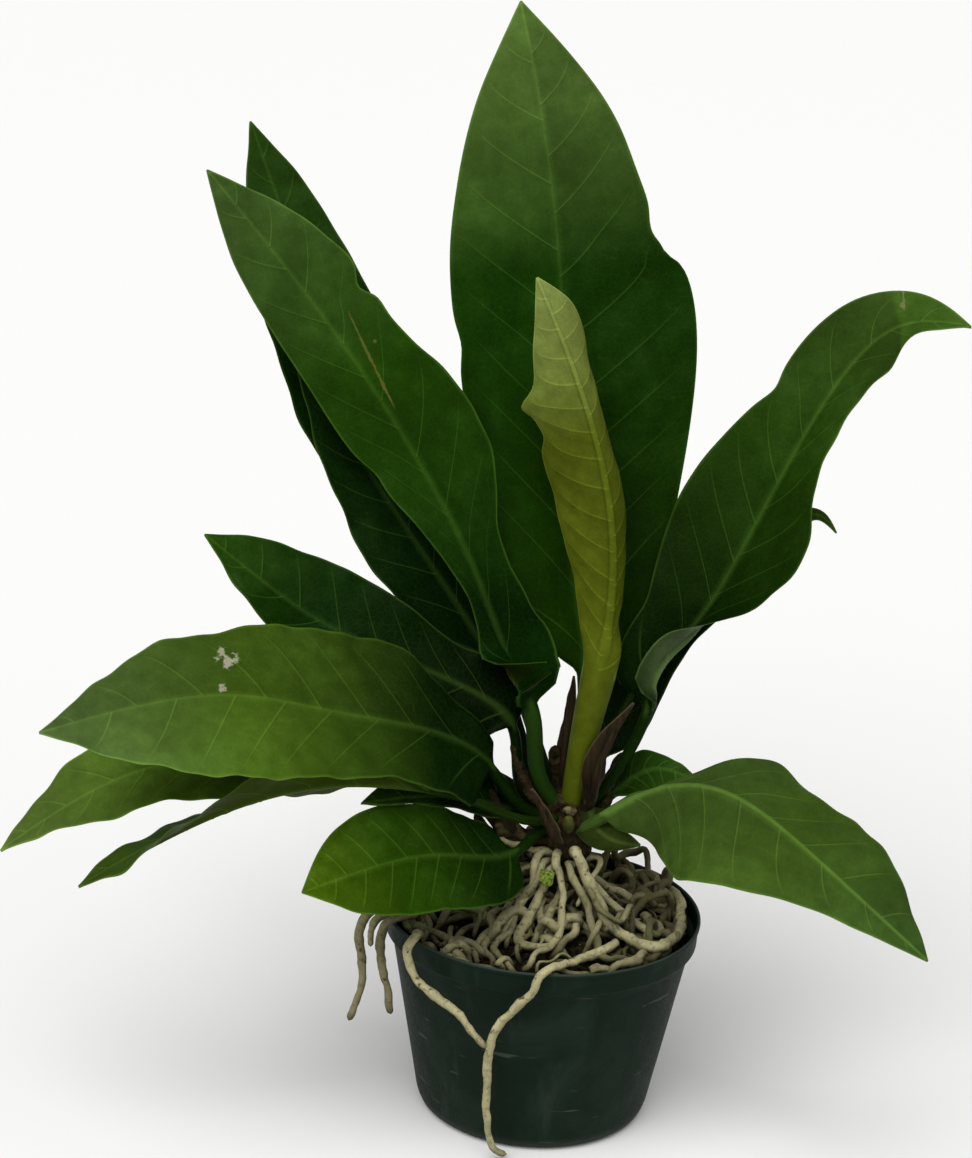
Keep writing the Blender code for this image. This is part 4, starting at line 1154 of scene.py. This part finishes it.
def wall_radius(height):
    """Outside of the pot wall under the collar."""
    return BASE_RADIUS + (RIM_RADIUS - COLLAR_STEP - BASE_RADIUS) * height / SHELF


def turned_rings(profile, steps):
    """Rings round the Z axis from a profile of radius and height."""
    profile = np.asarray(profile, float)
    turn = np.linspace(0, 2 * np.pi, steps, endpoint=False)
    x = profile[:, :1] * np.cos(turn)
    y = profile[:, :1] * np.sin(turn)
    z = profile[:, 1:] * np.ones(steps)
    return np.stack([x, y, z], -1)


def dense(profile, step):
    """Adds points to a profile so that no side is longer than the step."""
    made = [profile[0]]
    for a, b in zip(profile, profile[1:]):
        count = max(1, math.ceil(math.dist(a, b) / step))
        made += zip(np.linspace(a[0], b[0], count + 1)[1:], np.linspace(a[1], b[1], count + 1)[1:])
    return made


def build_pot(look):
    """The profile runs from the middle of the floor over the rim to under the floor."""
    top = POT_HEIGHT
    inner_rim = RIM_RADIUS - WALL
    lip = (0.45, 0.1), (0.1, 0.5), (0, 1.2), (0.15, 2.2), (0.75, 2.6), (0.85, 3.2)
    ledge = (1.2, 1.4), (1.3, 0.7), (1.8, 0.1), (2.6, -0.1)
    foot = (2.6, 1.2), (4, 0.4), (6, 0), (12, 0), (13, 0.8)
    profile = [
        (0.3, FLOOR),
        (BASE_RADIUS - 5, FLOOR),
        (wall_radius(5) - WALL - 1.5, FLOOR + 1.5),
        (wall_radius(10) - WALL, 10),
        (wall_radius(SHELF) - WALL, SHELF + WALL),
        (inner_rim - 0.6, SHELF + WALL + 1.5),
        (inner_rim, top - 0.9),
        (inner_rim + 0.35, top - 0.25),
        (inner_rim + 0.8, top),
        *((RIM_RADIUS - x, top - z) for x, z in lip),
        *((RIM_RADIUS - x, SHELF + z) for x, z in ledge),
        (wall_radius(SHELF) + 0.5, SHELF - 0.4),
        (wall_radius(SHELF - 1.5), SHELF - 1.5),
        (wall_radius(9), 9),
        (wall_radius(6) - 0.3, 6),
        (wall_radius(3) - 1.2, 2.8),
        *((BASE_RADIUS - x, z) for x, z in foot),
        (0.3, 0.8),
    ]
    rings = turned_rings(dense(profile, POT_STEP), POT_SIDES)
    radius = from_axis(rings)
    warp = 0.35 * lumps(rings, 38.0, 4) * ease((rings[..., 2] - 6) / 20) * ease((radius[..., 0] - 40) / 15)
    rings[..., :2] *= 1 + warp[..., None] / radius
    piece = ring_piece("pot", rings)
    for k in range(DRAIN_HOLES):
        drill = bmesh.new()
        turn = 2 * math.pi * (k + 0.5) / DRAIN_HOLES
        place = Matrix.Scale(MM, 4) @ Matrix.Rotation(turn, 4, "Z")
        bmesh.ops.create_cone(
            drill, cap_ends=True, segments=32, radius1=DRAIN_RADIUS, radius2=DRAIN_RADIUS, depth=12,
            matrix=place @ Matrix.Translation((DRAIN_CIRCLE, 0, 0)),
        )
        mesh = bpy.data.meshes.new("drill")
        drill.to_mesh(mesh)
        drill.free()
        cutter = add_object("drill", mesh)
        step = piece.modifiers.new("drain", "BOOLEAN")
        step.operation = "DIFFERENCE"
        step.solver = "EXACT"
        step.object = cutter
        apply_steps(piece)
        bpy.data.objects.remove(cutter)
    shade_by_angle(piece, 40)
    add_part(piece, "pot_plastic", look, "nursery_pot")


def apply_steps(piece):
    """Puts a piece's modifiers into its mesh."""
    bpy.context.view_layer.update()
    graph = bpy.context.evaluated_depsgraph_get()
    mesh = bpy.data.meshes.new_from_object(piece.evaluated_get(graph))
    piece.modifiers.clear()
    piece.data = mesh


def shade_by_angle(piece, degrees):
    """Smooth faces, with sharp edges where they turn more than the angle."""
    mesh = piece.data
    mesh.polygons.foreach_set("use_smooth", [True] * len(mesh.polygons))
    mesh.set_sharp_from_angle(angle=math.radians(degrees))


def build_mix(look):
    """Crumbly surface, kept under the roots and inside the wall."""
    clear = WALL + 0.7
    reach = wall_radius(SHELF) - clear
    radii = np.concatenate([[0.4], np.arange(2.0, reach, 1.5), [reach]])
    top = [(r, float(ground(r))) for r in radii]
    side = [
        (wall_radius(SHELF - 6) - clear, SHELF - 6),
        (wall_radius(10) - clear, 10.5),
        (BASE_RADIUS - 6.5, FLOOR + 0.5),
        (0.4, FLOOR + 0.5),
    ]
    rings = turned_rings(top + side, MIX_SIDES)
    crumb = 0.9 * lumps(rings, 6.0, 1) + 0.8 * lumps(rings, 2.6, 2) - 0.5
    crumb[len(top) - 1] *= 0.4
    crumb[len(top) :] = 0
    rings[..., 2] += crumb
    piece = ring_piece("potting_mix_surface", rings)
    add_part(piece, "potting_mix", look, "potting_mix")


def build_stem(look):
    """A short lumpy stem with the rings that old leaves leave."""
    rise = STEM_TOP - STEM_FOOT
    profile = []
    for k in range(STEM_ROWS + 1):
        share = k / STEM_ROWS
        swell = 0.5 + 0.5 * math.sin(math.pi * min(1.0, 0.15 + 4 * share) / 2)
        swell -= 0.25 * max(0.0, share - 0.4)
        radius = STEM_RADIUS * swell + 0.6 * math.cos(26 * share)
        profile.append((radius, STEM_TOP - 0.4 - (rise - 0.4) * share))
    rings = turned_rings([(0.4, STEM_TOP), *profile, (0.4, STEM_FOOT)], STEM_SIDES)
    radius = np.maximum(from_axis(rings), 0.1)
    bulge = 1.3 * lumps(rings, 7.0, 8) + 0.9 * lumps(rings, 2.8, 9)
    bulge[0] = bulge[-1] = 0
    rings[..., :2] *= 1 + bulge[..., None] / radius
    rings[..., 0] += STEM_X
    piece = ring_piece("stem_bark", rings)
    add_part(piece, "stem_brown", look, "stem")


def taken(edit):
    """Points and faces of an edit mesh, which is freed."""
    points = np.array([vertex.co for vertex in edit.verts])
    faces = [tuple(vertex.index for vertex in face.verts) for face in edit.faces]
    edit.free()
    return points, faces


def ball(name, place, size, fineness, rough, seed):
    """A lumpy ball, as an object."""
    edit = bmesh.new()
    bmesh.ops.create_icosphere(edit, subdivisions=fineness, radius=1.0)
    points, faces = taken(edit)
    skin = points * np.array(size)
    skin = skin * (1 + rough * lumps(skin, 0.7 * min(size), seed))[:, None] + np.array(place)
    return mesh_piece(name, skin, faces)


def build_stubs(look):
    """Dry stubs of old leaf stalks that fill the crown between the live ones."""
    strands = [(radius, line, dict(wiggle=0.4, potted=False)) for radius, line in STUBS]
    add_part(root_piece("leaf_stubs", strands), "stem_brown", look)


def build_small_parts():
    """The knob and the bud on the crown, and the moss on the roots."""
    look = speckled_look(
        "knob_skin", 0.8, 300.0, 0.35, 0.6, (0.15, 0.12, 0.055), (0.03, 0.022, 0.009), (500.0, 0.8)
    )
    add_part(ball("stem_knob", (9.5, -13.5, 165), (3.4, 3.0, 2.6), 4, 0.30, 6), "stem_brown", look)
    look = speckled_look(
        "bud_skin", 0.5, 160.0, 0.35, 0.65, (0.020, 0.024, 0.003), (0.055, 0.060, 0.010), (500.0, 0.5)
    )
    add_part(ball("bud_tip", (9.5, -17, 159), (3.2, 3.2, 4.5), 4, 0.10, 2), "bud_green", look, "bud")
    look = speckled_look(
        "moss_leaves", 0.9, 700.0, 0.38, 0.62, (0.05, 0.09, 0.01), (0.24, 0.32, 0.05),
        (900.0, 4.0, 0.7, 2.0),
    )
    piece = ball("moss_cushion", (0.5, -25.5, 134), (3.8, 3.2, 3.6), 5, 0.6, 3)
    add_part(piece, "moss_green", look, "moss_tuft")


def build_chips(look):
    """Rough bark chips, each in the place of its solid."""
    chips = sorted(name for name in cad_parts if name.startswith("bark_chip"))
    for k, name in enumerate(chips):
        low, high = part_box(name)
        edit = bmesh.new()
        bmesh.ops.create_cube(edit, size=2.0)
        bmesh.ops.subdivide_edges(edit, edges=edit.edges, cuts=7, use_grid_fill=True)
        points, faces = taken(edit)
        rounded = points / np.maximum(np.linalg.norm(points, axis=1, keepdims=True), 1) ** 0.5
        skin = rounded * np.array((high - low) / (2 * MM))
        skin = skin * (1 + 0.12 * lumps(skin, 2.4, k))[:, None] + np.array((low + high) / (2 * MM))
        piece = mesh_piece(name.replace("bark_chip", "bark_piece"), skin, faces)
        shade_by_angle(piece, 35)
        add_part(piece, "bark_brown", look, name)


# Stage

def build_camera():
    """Looks down by CAMERA_DOWN, rolled by CAMERA_ROLL, both in degrees."""
    down = math.radians(CAMERA_DOWN)
    ahead = Vector((0, math.cos(down), -math.sin(down)))
    level = Vector((1, 0, 0))
    over = level.cross(ahead)
    roll = math.radians(CAMERA_ROLL)
    right = math.cos(roll) * level + math.sin(roll) * over
    upward = math.cos(roll) * over - math.sin(roll) * level
    data = bpy.data.cameras.new("camera")
    data.lens = CAMERA_LENS
    data.sensor_width = 36.0
    data.clip_end = 60.0
    camera = add_object("camera", data)
    turned = Matrix((right, upward, -ahead)).transposed().to_4x4()
    camera.matrix_world = Matrix.Translation(CAMERA_PLACE) @ turned
    bpy.context.scene.camera = camera


def build_stage():
    """A pale floor, white surroundings and two soft lights."""
    scene = bpy.context.scene
    far = FLOOR_HALF
    corners = [(-far, -far, 0), (far, -far, 0), (far, far, 0), (-far, far, 0)]
    floor = mesh_piece("floor", corners, [(0, 1, 2, 3)])
    floor.data.materials.append(Look("floor_pale").finished((0.86, 0.86, 0.85), 0.9))

    world = bpy.data.worlds.new("studio")
    world.use_nodes = True
    background = world.node_tree.nodes["Background"].inputs
    background["Color"].default_value = (1.0, 1.0, 1.0, 1.0)
    background["Strength"].default_value = SKY_STRENGTH
    scene.world = world
    scene.view_settings.view_transform = "Standard"
    for name, toward, spread_angle, power in LIGHTS:
        lamp = bpy.data.lights.new(name, "SUN")
        lamp.angle = math.radians(spread_angle)
        lamp.energy = power
        made = add_object(name, lamp)
        made.location = -Vector(toward)
        made.rotation_euler = Vector(toward).to_track_quat("-Z", "Y").to_euler()


def main():
    build_camera()
    build_stage()
    build_pot(pot_look())
    build_mix(mix_look())
    bark = stem_look()
    build_stem(bark)
    build_stubs(bark)
    build_roots(root_look())
    sheath = sheath_look()
    for name, own in LEAVES.items():
        leaf = {**PLAIN_LEAF, **own}
        piece = leaf_piece(name + "_blade", leaf)
        look = leaf_look(name + "_look", leaf) if leaf["tones"] else sheath
        add_part(piece, leaf["slot"], look, *([name] if leaf["solid"] else []))
    build_chips(bark_look())
    build_small_parts()


main()
